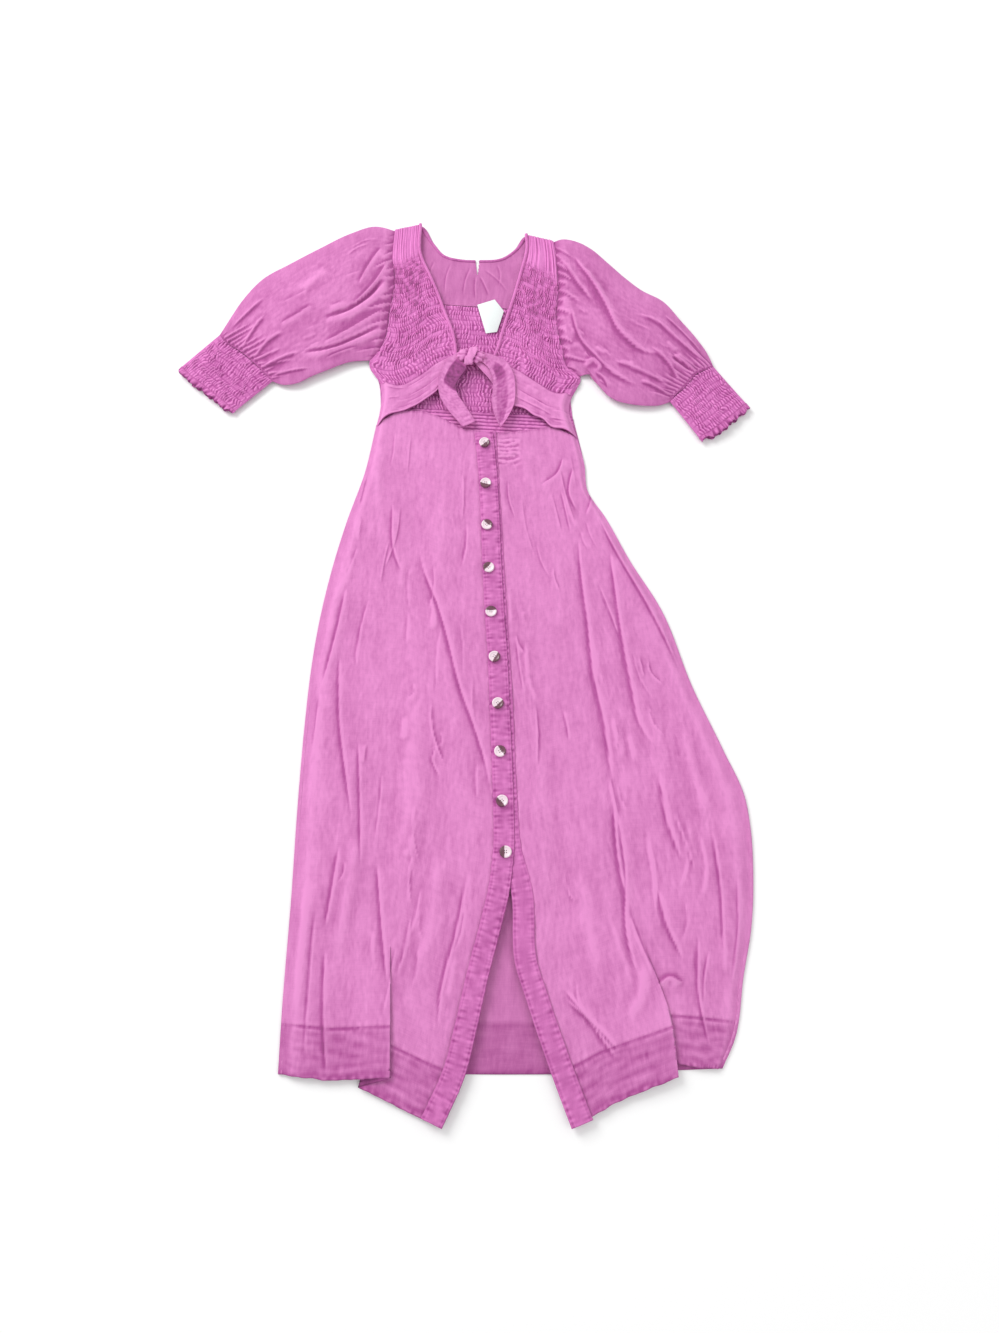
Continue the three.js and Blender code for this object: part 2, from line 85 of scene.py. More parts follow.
def patch(left, right, top, bottom):
    """A surface between four curves: s across from left to right, t down from top to bottom."""
    def at(s, t):
        sides = along(left, t) * (1 - s)[:, None] + along(right, t) * s[:, None]
        ends = along(top, s) * (1 - t)[:, None] + along(bottom, s) * t[:, None]
        corner = [np.asarray(c[e], float) for c, e in ((top, 0), (top, -1), (bottom, 0), (bottom, -1))]
        flat = ((1 - t) * (1 - s))[:, None] * corner[0] + ((1 - t) * s)[:, None] * corner[1]
        flat = flat + (t * (1 - s))[:, None] * corner[2] + (t * s)[:, None] * corner[3]
        return sides + ends - flat
    return at


def ribbed(stops, ribs):
    """A surface through curves that run down the cloth, each at its own share across the cut."""
    def at(s, t):
        lines = np.stack([along(rib, t) for rib in ribs])
        i = np.clip(np.searchsorted(stops, s, side="right") - 1, 0, len(stops) - 2)
        first, last = np.take(stops, i), np.take(stops, i + 1)
        u = ((s - first) / (last - first))[:, None]
        n = np.arange(len(s))
        return lines[i, n] * (1 - u) + lines[i + 1, n] * u
    return at


def noise(x, y, seed=0):
    """Smooth noise from about -1 to 1, the same on every run."""
    ix, iy = np.floor(x).astype(np.int64), np.floor(y).astype(np.int64)
    fx, fy = x - ix, y - iy

    def corner(dx, dy):
        h = ((ix + dx) * 374761393 + (iy + dy) * 668265263 + seed * 982451653) & 0x7FFFFFFF
        h = ((h ^ (h >> 13)) * 1274126177) & 0x7FFFFFFF
        turn = (h ^ (h >> 16)) / 0x7FFFFFFF * 2 * np.pi
        return np.cos(turn) * (fx - dx) + np.sin(turn) * (fy - dy)

    ux, uy = fx * fx * (3 - 2 * fx), fy * fy * (3 - 2 * fy)
    low = corner(0, 0) * (1 - ux) + corner(1, 0) * ux
    high = corner(0, 1) * (1 - ux) + corner(1, 1) * ux
    return 1.5 * (low * (1 - uy) + high * uy)


def smooth(value, low, high):
    u = np.clip((value - low) / (high - low), 0, 1)
    return u * u * (3 - 2 * u)


def rumple(x, y, grain, seed, broad=1.0, fine=1.0):
    """Soft folds that run along the grain, in degrees from +X, with crisp small creases over them."""
    turn = math.radians(grain)
    u = x * math.cos(turn) + y * math.sin(turn)
    v = y * math.cos(turn) - x * math.sin(turn)
    v = v + 12 * noise(u / 120, v / 70, seed)
    soft = noise(u / 300, v / 46, seed + 1) + 0.5 * noise(u / 120, v / 24, seed + 2)
    crisp = (1 - np.abs(noise(u / 90, v / 20, seed + 3))) ** 9
    crisp = crisp * smooth(noise(u / 60, v / 50, seed + 4), 0.25, 0.7)
    small = noise(u / 26, v / 8, seed + 5) * (0.5 + 0.5 * noise(u / 60, v / 40, seed + 6))
    small = small + 0.6 * noise(u / 9, v / 5, seed + 7)
    return broad * soft + fine * (0.3 * crisp + 0.26 * small)


def sorted_folds(**kinds):
    """A table of folds, each with its line, width, height and kind."""
    return [(*fold, kind) for kind, rows in kinds.items() for fold in rows]


def folds(x, y, table):
    """The height of creases and folded edges, and the painted shade of the line at each one's foot."""
    z, dark = np.zeros_like(x), np.zeros_like(x)
    for line, width, height, kind in table:
        way = along(line, np.linspace(0, 1, 22))
        reach = 3.2 * width + 4
        near = np.flatnonzero((x > way[:, 0].min() - reach) & (x < way[:, 0].max() + reach)
                              & (y > way[:, 1].min() - reach) & (y < way[:, 1].max() + reach))
        if not len(near):
            continue
        p = np.stack([x[near], y[near]], 1)
        a, d = way[:-1], np.diff(way, axis=0)
        rel = p[:, None, :] - a[None]
        share = np.clip((rel * d).sum(2) / (d * d).sum(1), 0, 1)
        gap = rel - share[..., None] * d
        far = np.hypot(gap[..., 0], gap[..., 1])
        k = far.argmin(1)
        n = np.arange(len(near))
        side = np.sign(d[k, 0] * rel[n, k, 1] - d[k, 1] * rel[n, k, 0])
        dist = side * far[n, k]
        run = (k + share[n, k]) / len(d)
        taper = smooth(run, 0, 0.25) * smooth(1 - run, 0, 0.3)
        if kind == "gather":
            taper = 1 - smooth(run, 0.2, 1)
        ends = (share[n, k] <= 0) & (k == 0) | (share[n, k] >= 1) & (k == len(d) - 1)
        if kind == "ridge":
            shape = np.exp(-((dist / width) ** 2))
        elif kind == "crease":
            shape = np.where(dist > 0, np.exp(-dist / width), np.exp(-((dist / (0.28 * width)) ** 2)))
        elif kind == "tuck":
            shape = np.exp(-((dist / width) ** 2))
            shape = shape - 1.5 * np.exp(-(((dist + 0.9 * width) / (0.4 * width)) ** 2))
        else:
            shape = np.where(dist > 0, np.exp(-dist / (1.4 * width)), np.exp(-((dist / (0.5 * width)) ** 2)))
        shut = taper * np.where(ends, np.exp(-far[n, k] / (0.4 * width)), 1)
        z[near] += height * shut * shape
        # Painted shade along the foot of each fold.
        if kind != "ridge":
            foot = {"crease": 0.3, "tuck": 0.9, "gather": 0.7}[kind] * width
            shadow = np.exp(-(((dist + foot) / 1.3) ** 2)) + 0.2 * np.exp(-(((dist + foot + 1) / 5) ** 2))
            dark[near] = np.maximum(dark[near], min(1.0, height / 2.6) * shut * shadow)
    return z, dark


def scattered(surface, count, seed, low=0.03, high=0.12):
    """Slight creases spread over a surface, each along its length."""
    chance = np.random.default_rng(seed)
    table = []
    for _ in range(count):
        s, t, reach = chance.uniform(0.08, 0.92), chance.uniform(0.03, 0.86), chance.uniform(low, high)
        across = np.clip(s + np.array([0, chance.normal(0, 0.008), chance.normal(0, 0.02)]), 0, 1)
        line = spots(surface(across, t + reach * np.array([0, 0.5, 1]))[:, :2])
        kind = "crease" if chance.random() < 0.65 else "ridge"
        way = line if chance.random() < 0.5 else line[::-1]
        table.append((way, chance.uniform(2.8, 7), chance.uniform(0.4, 1.1), kind))
    return table


def strokes(edge, towards, count, low, high, seed, height=2.2):
    """Short gathers that start at an edge and run towards another."""
    table = []
    for k in range(count):
        share = np.array([(k + 0.5) / count])
        start, aim = along(edge, share)[0, :2], along(towards, share)[0, :2]
        way = (aim - start) / np.linalg.norm(aim - start)
        side = np.array([-way[1], way[0]])
        a = float(abs(noise(np.array([k * 1.73 + 0.31]), np.array([0.5]), seed)[0]))
        b = float(noise(np.array([k * 2.37 + 0.17]), np.array([1.5]), seed + 1)[0])
        reach = low + (high - low) * min(1.0, 1.6 * a)
        line = [start + way, start + way * reach * 0.5 + side * 3 * b, start + way * reach + side * 9 * b]
        table.append((spots(line), 2.6 + 1.2 * abs(b), height * (0.6 + 0.7 * a), "gather"))
    return table


def smocking(u, row, seed, pitch=4.6):
    """Cloth gathered on rows of elastic, from 0 in the stitched lines to 1 on the tucks."""
    k = np.floor(row)
    puff = np.sin(np.pi * (row - k)) ** 0.5
    drift = 1.0 * noise(u / 34, row * 0.3, seed) + 0.45 * noise(u / 12, row * 0.9, seed + 1)
    jump = 0.55 * noise(k * 1.7 + 0.3, u / 19, seed + 2)
    tuck = 0.5 + 0.5 * np.cos(2 * np.pi * (u / pitch + drift + jump))
    strong = np.clip(0.5 + 1.2 * noise(u / 11, row * 0.8, seed + 3), 0.06, 1.1)
    return 0.14 * puff + 0.86 * tuck**1.8 * strong * (0.22 + 0.78 * puff)


# ---- Cloth as a grid of fine faces

def blurred(grid, radius):
    """A grid of heights, smoothed over squares of 2 * radius + 1 cells."""
    for axis in (0, 1):
        r = min(radius, grid.shape[axis] // 3)
        wide = np.pad(grid, [(r + 1, r) if a == axis else (0, 0) for a in (0, 1)], mode="edge")
        total = np.cumsum(wide, axis=axis)
        n = grid.shape[axis]
        upper = np.take(total, np.arange(2 * r + 1, 2 * r + 1 + n), axis=axis)
        lower = np.take(total, np.arange(0, n), axis=axis)
        grid = (upper - lower) / (2 * r + 1)
    return grid


def patterned():
    """An empty mesh that can hold a pattern for the weave."""
    bm = bmesh.new()
    bm.loops.layers.uv.new("UVMap")
    return bm


def mesh_of(bm, name):
    mesh = bpy.data.meshes.new(name)
    bm.to_mesh(mesh)
    bm.free()
    return mesh


def places(mesh):
    """The places of a mesh's vertices, one in each row."""
    co = np.zeros(len(mesh.vertices) * 3)
    mesh.vertices.foreach_get("co", co)
    return co.reshape(-1, 3)


def mark(mesh, name, values):
    """Keeps a value at each vertex, for a material to read by its name."""
    mesh.attributes.new(name, "FLOAT", "POINT").data.foreach_set("value", values.astype(np.float32))


def sized(mesh, size):
    """Stretches a mesh's pattern to its size in metres."""
    uv = np.zeros(len(mesh.loops) * 2)
    mesh.uv_layers[0].data.foreach_get("uv", uv)
    mesh.uv_layers[0].data.foreach_set("uv", (uv.reshape(-1, 2) * size).ravel())


def cloth(name, across, down, place, size, material, rim=0.7, ring=False, seam=None):
    """A piece of cloth from a grid of faces.

    place(s, t) gives its millimetres, and a fourth column for painted shade at the foot of folds. size is its
    pattern in metres, and seam(s, t) says how much darker it is, from dye and stitching and, on some pieces,
    painted shade.
    """
    bm = patterned()
    bmesh.ops.create_grid(bm, x_segments=across, y_segments=down, size=0.5, calc_uvs=True)
    mesh = mesh_of(bm, name)
    co = places(mesh)
    s, t = co[:, 0] + 0.5, 0.5 - co[:, 1]
    col = np.rint(s * (len(np.unique(np.rint(s * 1e5))) - 1)).astype(int)
    row = np.rint(t * (len(np.unique(np.rint(t * 1e5))) - 1)).astype(int)
    spot = place(s, t)
    grid = np.zeros((row.max() + 1, col.max() + 1))
    grid[row, col] = spot[:, 2]
    # Painted shading: hollows of the cloth are painted darker and its ridges paler, standing in for shade and
    # light.
    painted_shading = (blurred(grid, 2) - grid) / 0.35 + (blurred(grid, 7) - grid) / 1.6
    if not ring:
        rank = np.arange(grid.shape[1]) / (grid.shape[1] - 1)
        painted_shading = painted_shading * smooth(np.minimum(rank, 1 - rank), 0, 0.09)
    crease = np.clip(painted_shading[row, col] * 0.7, -0.8, 0.9)
    if spot.shape[1] > 3:
        # The fourth column adds painted shade at the foot of folds.
        crease = np.clip(crease + 1.6 * spot[:, 3], -0.8, 1.5)
        spot = spot[:, :3]
    spot[:, 1] -= BODICE_DROP * smooth(spot[:, 1], 325, 445)
    spot[:, :2] += MIDDLE
    mesh.vertices.foreach_set("co", (spot * MM).ravel())
    sized(mesh, size)
    mark(mesh, "crease", crease)
    mark(mesh, "seam", np.zeros(len(s)) if seam is None else np.clip(seam(s, t), 0, 2.5))
    bm = bmesh.new()
    bm.from_mesh(mesh)
    if ring:
        bmesh.ops.remove_doubles(bm, verts=bm.verts, dist=1e-5)
    if rim:
        edges = [e for e in bm.edges if e.is_boundary]
        out = bmesh.ops.extrude_edge_only(bm, edges=edges)
        low = [v for v in out["geom"] if isinstance(v, bmesh.types.BMVert)]
        bmesh.ops.translate(bm, verts=low, vec=(0, 0, -rim * MM))
    bm.to_mesh(mesh)
    bm.free()
    return finished(name, mesh, material)


def finished(name, mesh, material):
    """An object in the scene with its material."""
    mesh.polygons.foreach_set("use_smooth", [True] * len(mesh.polygons))
    mesh.materials.append(material)
    piece = bpy.data.objects.new(name, mesh)
    bpy.context.scene.collection.objects.link(piece)
    return piece


def thick(piece, millimetres):
    wall = piece.modifiers.new("Thickness", "SOLIDIFY")
    wall.thickness = millimetres * MM
    wall.offset = 0
    return piece


# ---- Materials

def group(name, inputs, outputs):
    tree = bpy.data.node_groups.new(name, "ShaderNodeTree")
    for label, kind, value in inputs:
        socket = tree.interface.new_socket(label, in_out="INPUT", socket_type=kind)
        if value is not None:
            socket.default_value = value
    for label in outputs:
        tree.interface.new_socket(label, in_out="OUTPUT", socket_type="NodeSocketFloat")
    return tree, tree.nodes.new("NodeGroupInput"), tree.nodes.new("NodeGroupOutput")


def plug(tree, node, inputs):
    for key, value in inputs.items():
        if isinstance(value, bpy.types.NodeSocket):
            tree.links.new(value, node.inputs[key])
        else:
            node.inputs[key].default_value = value


def add(tree, kind, inputs=None, **settings):
    node = tree.nodes.new(kind)
    for key, value in settings.items():
        setattr(node, key, value)
    plug(tree, node, inputs or {})
    return node


def maths(tree, operation, *values):
    return add(tree, "ShaderNodeMath", dict(enumerate(values)), operation=operation).outputs[0]


def speckle(tree, where, scale, detail, **more):
    inputs = {"Vector": where, "Scale": scale, "Detail": detail, **more}
    return add(tree, "ShaderNodeTexNoise", inputs).outputs[0]


def stretched(tree, where, stretch):
    return add(tree, "ShaderNodeVectorMath", {0: where, 1: stretch}, operation="MULTIPLY").outputs[0]


def mixed(tree, share, first, second):
    """One colour that turns into another as the share goes from 0 to 1."""
    first, second = (c if isinstance(c, bpy.types.NodeSocket) else (*c, 1) for c in (first, second))
    return add(tree, "ShaderNodeMix", {0: share, 6: first, 7: second}, data_type="RGBA").outputs[2]


def kept(tree, name):
    """A value that mark() keeps on the mesh."""
    return add(tree, "ShaderNodeAttribute", attribute_name=name).outputs["Fac"]


def bump_of(tree, height, strength, distance):
    inputs = {"Height": height, "Strength": strength, "Distance": distance}
    return add(tree, "ShaderNodeBump", inputs).outputs[0]


def object_place(tree):
    return add(tree, "ShaderNodeTexCoord").outputs["Object"]


def new_material(name):
    material = bpy.data.materials.new(name)
    material.use_nodes = True
    tree = material.node_tree
    return material, tree, tree.nodes["Principled BSDF"]


def linen_weave():
    """Plain weave with slubs, on a pattern in metres."""
    tree, into, out = group("Linen weave", [("Vector", "NodeSocketVector", None),
                                            ("Threads", "NodeSocketFloat", 9000.0)], ["Height", "Slub"])
    split = add(tree, "ShaderNodeSeparateXYZ", {0: into.outputs["Vector"]})
    threads = [maths(tree, "SINE", maths(tree, "MULTIPLY", split.outputs[axis], into.outputs["Threads"]))
               for axis in (0, 1)]
    streaks = [speckle(tree, stretched(tree, into.outputs["Vector"], stretch), 1.0, 3.0, Roughness=0.6)
               for stretch in ((900.0, 38.0, 1.0), (34.0, 900.0, 1.0))]
    slub = maths(tree, "MULTIPLY", maths(tree, "ADD", *streaks), 0.5)
    height = maths(tree, "MULTIPLY_ADD", maths(tree, "MULTIPLY", *threads), 0.3, slub)
    plug(tree, out, {"Height": height, "Slub": slub})
    return tree


def garment_dye_and_shade():
    """Depth of colour from 0 where it is pale to 2 at the foot of a fold: dye with clouds, mottling and
    streaks, and painted shade and highlight from the Crease and Seam inputs.
    """
    tree, into, out = group("Garment dye and painted shade", [("Vector", "NodeSocketVector", None),
                                            ("Slub", "NodeSocketFloat", 0.5),
                                            ("Crease", "NodeSocketFloat", 0.0),
                                            ("Seam", "NodeSocketFloat", 0.0)], ["Depth"])
    here = into.outputs["Vector"]
    cloud = speckle(tree, here, 16.0, 5.0, Roughness=0.62)
    mottle = speckle(tree, stretched(tree, here, (1.0, 0.28, 1.0)), 110.0, 5.0, Roughness=0.7)
    depth = maths(tree, "MULTIPLY_ADD", cloud, 0.6, -0.15)
    depth = maths(tree, "MULTIPLY_ADD", mottle, 0.8, maths(tree, "SUBTRACT", depth, 0.31))
    depth = maths(tree, "MULTIPLY_ADD", into.outputs["Slub"], 0.7, maths(tree, "SUBTRACT", depth, 0.32))
    # Crease is painted shade in hollows and at the foot of folds, and painted highlight on ridges.
    depth = maths(tree, "MULTIPLY_ADD", into.outputs["Crease"], 0.5, depth)
    # Seam is deeper dye and stitching, with painted shade along some edges and overlaps.
    depth = maths(tree, "MULTIPLY_ADD", into.outputs["Seam"], 0.6, depth)
    plug(tree, out, {"Depth": add(tree, "ShaderNodeClamp", {0: depth, 2: 2.0}).outputs[0]})
    return tree


WEAVE = linen_weave()
DYE_AND_SHADE = garment_dye_and_shade()
FOLD_SHADOW = (0.13, 0.012, 0.085)


def linen(name, pale, deep, bump=0.45):
    material, tree, shader = new_material(name)
    pattern = add(tree, "ShaderNodeUVMap", uv_map="UVMap").outputs[0]
    weave = add(tree, "ShaderNodeGroup", {"Vector": pattern}, node_tree=WEAVE)
    slub = weave.outputs["Slub"]
    inputs = {"Vector": object_place(tree), "Slub": slub}
    inputs.update({"Crease": kept(tree, "crease"), "Seam": kept(tree, "seam")})
    depth = add(tree, "ShaderNodeGroup", inputs, node_tree=DYE_AND_SHADE).outputs["Depth"]
    # Past a depth of 1 the colour turns towards FOLD_SHADOW, a painted shadow colour.
    shadow = maths(tree, "SUBTRACT", depth, 1.0)
    bumped = bump_of(tree, weave.outputs["Height"], bump, 0.0006)
    plug(tree, shader, {
        "Base Color": mixed(tree, shadow, mixed(tree, depth, pale, deep), FOLD_SHADOW),
        "Roughness": maths(tree, "MULTIPLY_ADD", slub, 0.2, 0.72),
        "Normal": bumped,
        "Sheen Weight": 0.08,
        "Sheen Roughness": 0.6,
        "Sheen Tint": (1.0, 0.75, 0.93, 1),
    })
    return material


def horn():
    material, tree, shader = new_material("two-tone horn")
    grain = speckle(tree, object_place(tree), 160.0, 4.0, Distortion=1.5)
    edge = maths(tree, "MULTIPLY_ADD", grain, 0.35, maths(tree, "SUBTRACT", kept(tree, "tone"), 0.17))
    split = add(tree, "ShaderNodeMapRange", {0: edge, 1: 0.44, 2: 0.56}).outputs[0]
    cream = mixed(tree, grain, (0.80, 0.60, 0.70), (0.90, 0.78, 0.82))
    brown = mixed(tree, grain, (0.07, 0.022, 0.04), (0.22, 0.08, 0.12))
    plug(tree, shader, {
        "Base Color": mixed(tree, split, cream, brown),
        "Roughness": maths(tree, "MULTIPLY_ADD", grain, 0.2, 0.2),
        "Coat Weight": 0.15,
        "Coat Roughness": 0.15,
    })
    return material


def card():
    material, tree, shader = new_material("white card")
    fibre = speckle(tree, object_place(tree), 900.0, 3.0)
    bumped = bump_of(tree, fibre, 0.1, 0.0002)
    plug(tree, shader, {
        "Base Color": mixed(tree, fibre, (0.74, 0.80, 0.79), (0.86, 0.90, 0.89)),
        "Normal": bumped,
        "Roughness": maths(tree, "MULTIPLY_ADD", fibre, 0.2, 0.5),
    })
    return material


face = linen("orchid linen", (0.80, 0.275, 0.615), (0.42, 0.07, 0.295))
inside = linen("orchid linen reverse", (0.68, 0.215, 0.51), (0.36, 0.055, 0.25))
smocked = linen("smocked orchid linen", (0.82, 0.25, 0.63), (0.36, 0.045, 0.25), bump=0.25)
edging = linen("stitched orchid linen", (0.72, 0.205, 0.54), (0.38, 0.055, 0.265), bump=0.25)
shell = horn()
tag_card = card()

# ---- Lines that pieces share

SIDE_RIGHT = [(-139.5, 331), (-155, 242), (-180.6, 153), (-200, 70), (-214.7, -15), (-224, -105),
              (-228, -185), (-231, -310), (-231.9, -436), (-235, -587), (-235, -668)]
SIDE_LEFT = [(192.5, 305), (203, 257), (207, 209), (234, 162), (269.5, 88), (315, 5.5), (359, -127),
             (397.7, -221), (424, -290), (429, -336), (428, -400), (419, -478), (404, -540), (385, -625),
             (366, -661)]
PLACKET_EDGE = [(54, 314), (60, 250), (65, 158), (68, 80), (72, 1), (77, -75), (80, -151), (83, -225),
                (85.5, -298), (86, -365), (79, -425), (66, -480), (50, -540), (35, -605), (18, -670),
                (-12, -735)]
UNDER_EDGE = [(28, 314), (37, 158), (45, 1), (54, -151), (60, -298), (66, -372), (80, -424), (87, -530),
              (100, -570), (117, -620), (135, -670), (160, -735)]
BODY_RIGHT = [(-154, 459), (-137.5, 418), (-132.7, 390), (-134, 361), (-139.5, 331)]
BODY_LEFT = [(200, 428), (184, 398), (180, 365), (184, 335), (192.5, 305)]
ARM_RIGHT = [(-121, 727), (-123, 666), (-119, 621), (-127, 552), (-132, 504), (-148, 466), (-154, 459)]
ARM_LEFT = [(160, 703), (165, 660), (167, 600), (163, 540), (172, 480), (180, 445), (200, 428)]
NECK_RIGHT = [(-73, 739), (-72, 677), (-53, 627), (-40, 593), (-27, 553), (-13, 513), (-7, 473), (-6, 460)]
NECK_LEFT = [(109, 717), (110, 690), (100, 640), (85, 580), (70, 527), (57, 477), (48, 452)]
BACK_NECK = [(-73, 739), (-50, 700), (-33, 678), (0, 668), (27, 667), (70, 672), (90, 688), (109, 717)]
SEAM_RIGHT = [(-136, 414), (-103, 404), (-70, 423), (-39, 450), (-6, 460)]
SEAM_LEFT = [(48, 452), (90, 437), (125, 412), (160, 388), (187, 389)]
BAND_RIGHT = [(-139.5, 325), (-120, 345), (-90, 355), (-60, 375), (-42, 392), (-22, 420), (8, 452)]
BAND_LEFT = [(20, 452), (52, 410), (68, 378), (85, 365), (105, 358), (120, 345), (135, 338), (150, 322),
             (170, 318), (192.5, 305)]


def side_level(out, top, depth, reach=0.09):
    """The height of a front sheet, which turns under at its side seam."""
    return top - (1 - smooth(out, 0, reach)) ** 1.5 * depth


# ---- Skirt
# Each fold is a line down the cloth, from where it starts to where it dies away, its width and its height.

RIGHT_FOLDS = sorted_folds(
    crease=[
        ([(-107, 190), (-98, 90), (-85, 60)], 9, 2.0),
        ([(-163, 180), (-152, 240)], 6, 1.4),
        ([(-174, 45), (-178, 10), (-190, -60), (-205, -130)], 8, 3.2),
        ([(-205, -130), (-212, -220)], 9, 1.6),
        ([(-180, -60), (-172, -190), (-160, -260), (-148, -330)], 8, 2.6),
        ([(-145, -200), (-138, -300), (-133, -400)], 7, 2.2),
        ([(-62, 110), (-55, 75), (-30, 10), (-10, -60), (5, -120), (30, -190), (45, -240), (56, -300)],
         10, 3.0),
        ([(-165, -360), (-172, -420), (-180, -480)], 8, 2.6),
        ([(-110, -380), (-100, -470), (-88, -560)], 10, 2.4),
        ([(-178, -500), (-176, -590), (-168, -668)], 7, 3.0),
        ([(-195, -440), (-198, -540), (-200, -650)], 5, 1.2),
        ([(20, -400), (5, -480), (-15, -560), (-20, -620)], 7, 1.8),
    ],
    ridge=[
        ([(-140, -330), (-150, -420), (-165, -520)], 10, 2.2),
        ([(-205, -400), (-212, -500), (-214, -600)], 9, 2.0),
        ([(-20, -360), (-30, -450), (-45, -560)], 12, 1.6),
        ([(-60, -120), (-66, -260), (-70, -420)], 16, 1.3),
        ([(-30, 200), (-34, 120), (-25, 30)], 12, 0.9),
        ([(-128, 300), (-134, 240), (-128, 160)], 8, 1.4),
    ],
)
LEFT_FOLDS = sorted_folds(
    crease=[
        ([(190, 140), (195, 50), (202, -20), (208, -100), (225, -200), (232, -290)], 10, 3.0),
        ([(240, 110), (247, 30), (255, -50), (265, -120), (280, -190), (300, -220)], 10, 3.4),
        ([(222, 168), (245, 110), (270, 60), (300, 0), (330, -70), (345, -110)], 7, 3.2),
        ([(185, 250), (178, 200), (190, 170)], 8, 2.6),
        ([(170, 270), (160, 240), (130, 215)], 7, 2.0),
        ([(205, 235), (212, 190), (202, 160)], 6, 1.6),
        ([(232, -290), (236, -380), (250, -460)], 10, 2.2),
        ([(300, -250), (310, -330), (330, -390)], 9, 1.9),
        ([(372, -330), (380, -420), (378, -520)], 8, 1.6),
        ([(405, -400), (400, -480), (385, -560)], 6, 1.5),
        ([(290, -420), (300, -470), (322, -520)], 8, 2.4),
        ([(345, -480), (340, -560), (352, -640)], 8, 1.6),
        ([(155, -570), (190, -600), (230, -640)], 8, 2.2),
        ([(318, -552), (300, -543), (282, -556)], 7, 4.2),
        ([(235, -300), (246, -400), (244, -480), (262, -560)], 10, 1.6),
        ([(152, -555), (188, -600), (226, -652)], 7, 2.0),
    ],
    ridge=[
        ([(150, 120), (156, 40), (160, -40)], 12, 1.1),
        ([(335, -180), (352, -260), (372, -330)], 9, 1.6),
        ([(120, -200), (126, -330), (140, -450)], 16, 1.3),
        ([(180, -380), (188, -470), (205, -560)], 12, 1.3),
        ([(268, -520), (262, -560), (240, -600)], 8, 2.0),
        ([(110, 300), (112, 250), (120, 200)], 9, 1.0),
    ],
)

def hemline(s, t, width, seed):
    """Puckers along a hem's stitched line and its edge."""
    y = HEM_LINE - (1 - t) * SKIRT_CUT
    run = s * width
    line = np.exp(-((y / 2.2) ** 2))
    edge = np.exp(-(((y - HEM_DEPTH) / 3.0) ** 2))
    pucker = noise(run / 5.5, y / 40, seed)
    inside_hem = smooth(y, 0, 4) * (1 - smooth(y, HEM_DEPTH, HEM_DEPTH + 4))
    uneven = noise(run / 30, y / 9, seed + 2) * inside_hem + 0.9 * pucker * np.exp(-((y / 6) ** 2))
    return -0.9 * line * (0.5 + 0.8 * pucker) + 0.9 * edge * noise(run / 9, y / 20, seed + 1) + 0.55 * uneven


def skirt_right(s, t):
    ribs = [SIDE_RIGHT,
            [(-101, 357), (-118, 160), (-146, -15), (-156, -185), (-160, -436), (-165, -600), (-163, -676)],
            [(-60, 355), (-78, 100), (-86, -150), (-90, -400), (-87, -510), (-84, -600), (-82, -672)],
            [(-40, 346), (-52, 100), (-60, -150), (-66, -380), (-84, -500), (-106, -610), (-126, -684)],
            [(6, 320), (12, 100), (16, -100), (16, -300), (0, -480), (-30, -620), (-58, -715)],
            PLACKET_EDGE]
    surface = ribbed([0, 0.24, 0.5, 0.56, 0.78, 1], ribs)
    spot = surface(s, t)
    spot[:, 1] += 1.6 * noise(s * 22, t * 3, 15) * smooth(t, 0.96, 1)
    x, y = spot[:, 0], spot[:, 1]
    z = side_level(s, 8.0, 6.0)
    low = smooth(-y, 470, 660)
    over = smooth(s, 0.30, 0.5) * (1 - smooth(s, 0.5, 0.56))
    z = z + low * (4.2 * over - 2.0 * smooth(s, 0.5, 0.56))
    rise, dark = folds(x, y, RIGHT_FOLDS + scattered(surface, 42, 17))
    # Painted shade under the folded-over pleat at the hem.
    dark = dark + 0.8 * low * smooth(s, 0.494, 0.503) * (1 - smooth(s, 0.52, 0.6))
    z = z + 0.8 * rumple(x, y, 91, 11) + 1.1 * rise
    z = z + hemline(s, t, 330, 31) + 0.35 * gathers(s * 190, t * 1000, 41, 22)
    return np.column_stack([x, y, settled(z), dark])


def skirt_left(s, t):
    ribs = [UNDER_EDGE,
            [(70, 313), (90, 150), (105, 0), (118, -150), (130, -300), (150, -450), (190, -600), (222, -702)],
            [(108, 318), (135, 150), (165, 0), (190, -150), (215, -300), (262, -490), (284, -545),
             (299, -590), (306, -671)],
            [(116, 320), (146, 150), (180, 0), (208, -150), (234, -300), (264, -480), (268, -560),
             (280, -610), (290, -652)],
            [(156, 324), (188, 150), (244, 0), (290, -150), (332, -300), (345, -450), (338, -580),
             (336, -660)],
            SIDE_LEFT]
    surface = ribbed([0, 0.26, 0.5, 0.55, 0.74, 1], ribs)
    spot = surface(s, t)
    spot[:, 1] += 1.6 * noise(s * 24, t * 3, 75) * smooth(t, 0.96, 1)
    x, y = spot[:, 0], spot[:, 1]
    z = side_level(1 - s, 7.6, 5.8)
    low = smooth(-y, 460, 640)
    over = smooth(s, 0.28, 0.5) * (1 - smooth(s, 0.5, 0.55))
    z = z + low * (4.4 * over - 2.2 * smooth(s, 0.5, 0.55))
    rise, dark = folds(x, y, LEFT_FOLDS + scattered(surface, 50, 77))
    # Painted shade under the folded-over pleat at the hem.
    dark = dark + 0.8 * low * smooth(s, 0.494, 0.503) * (1 - smooth(s, 0.515, 0.58))
    z = z + 0.8 * rumple(x, y, 97, 71) + 1.1 * rise
    z = np.where(s < 0.12, np.minimum(z, 9.2), z)
    z = z + hemline(s, t, 400, 37) + 0.35 * gathers(s * 165, t * 1000, 47, 22)
    z = z + waist_elastic(x, y)
    return np.column_stack([x, y, settled(z), dark])


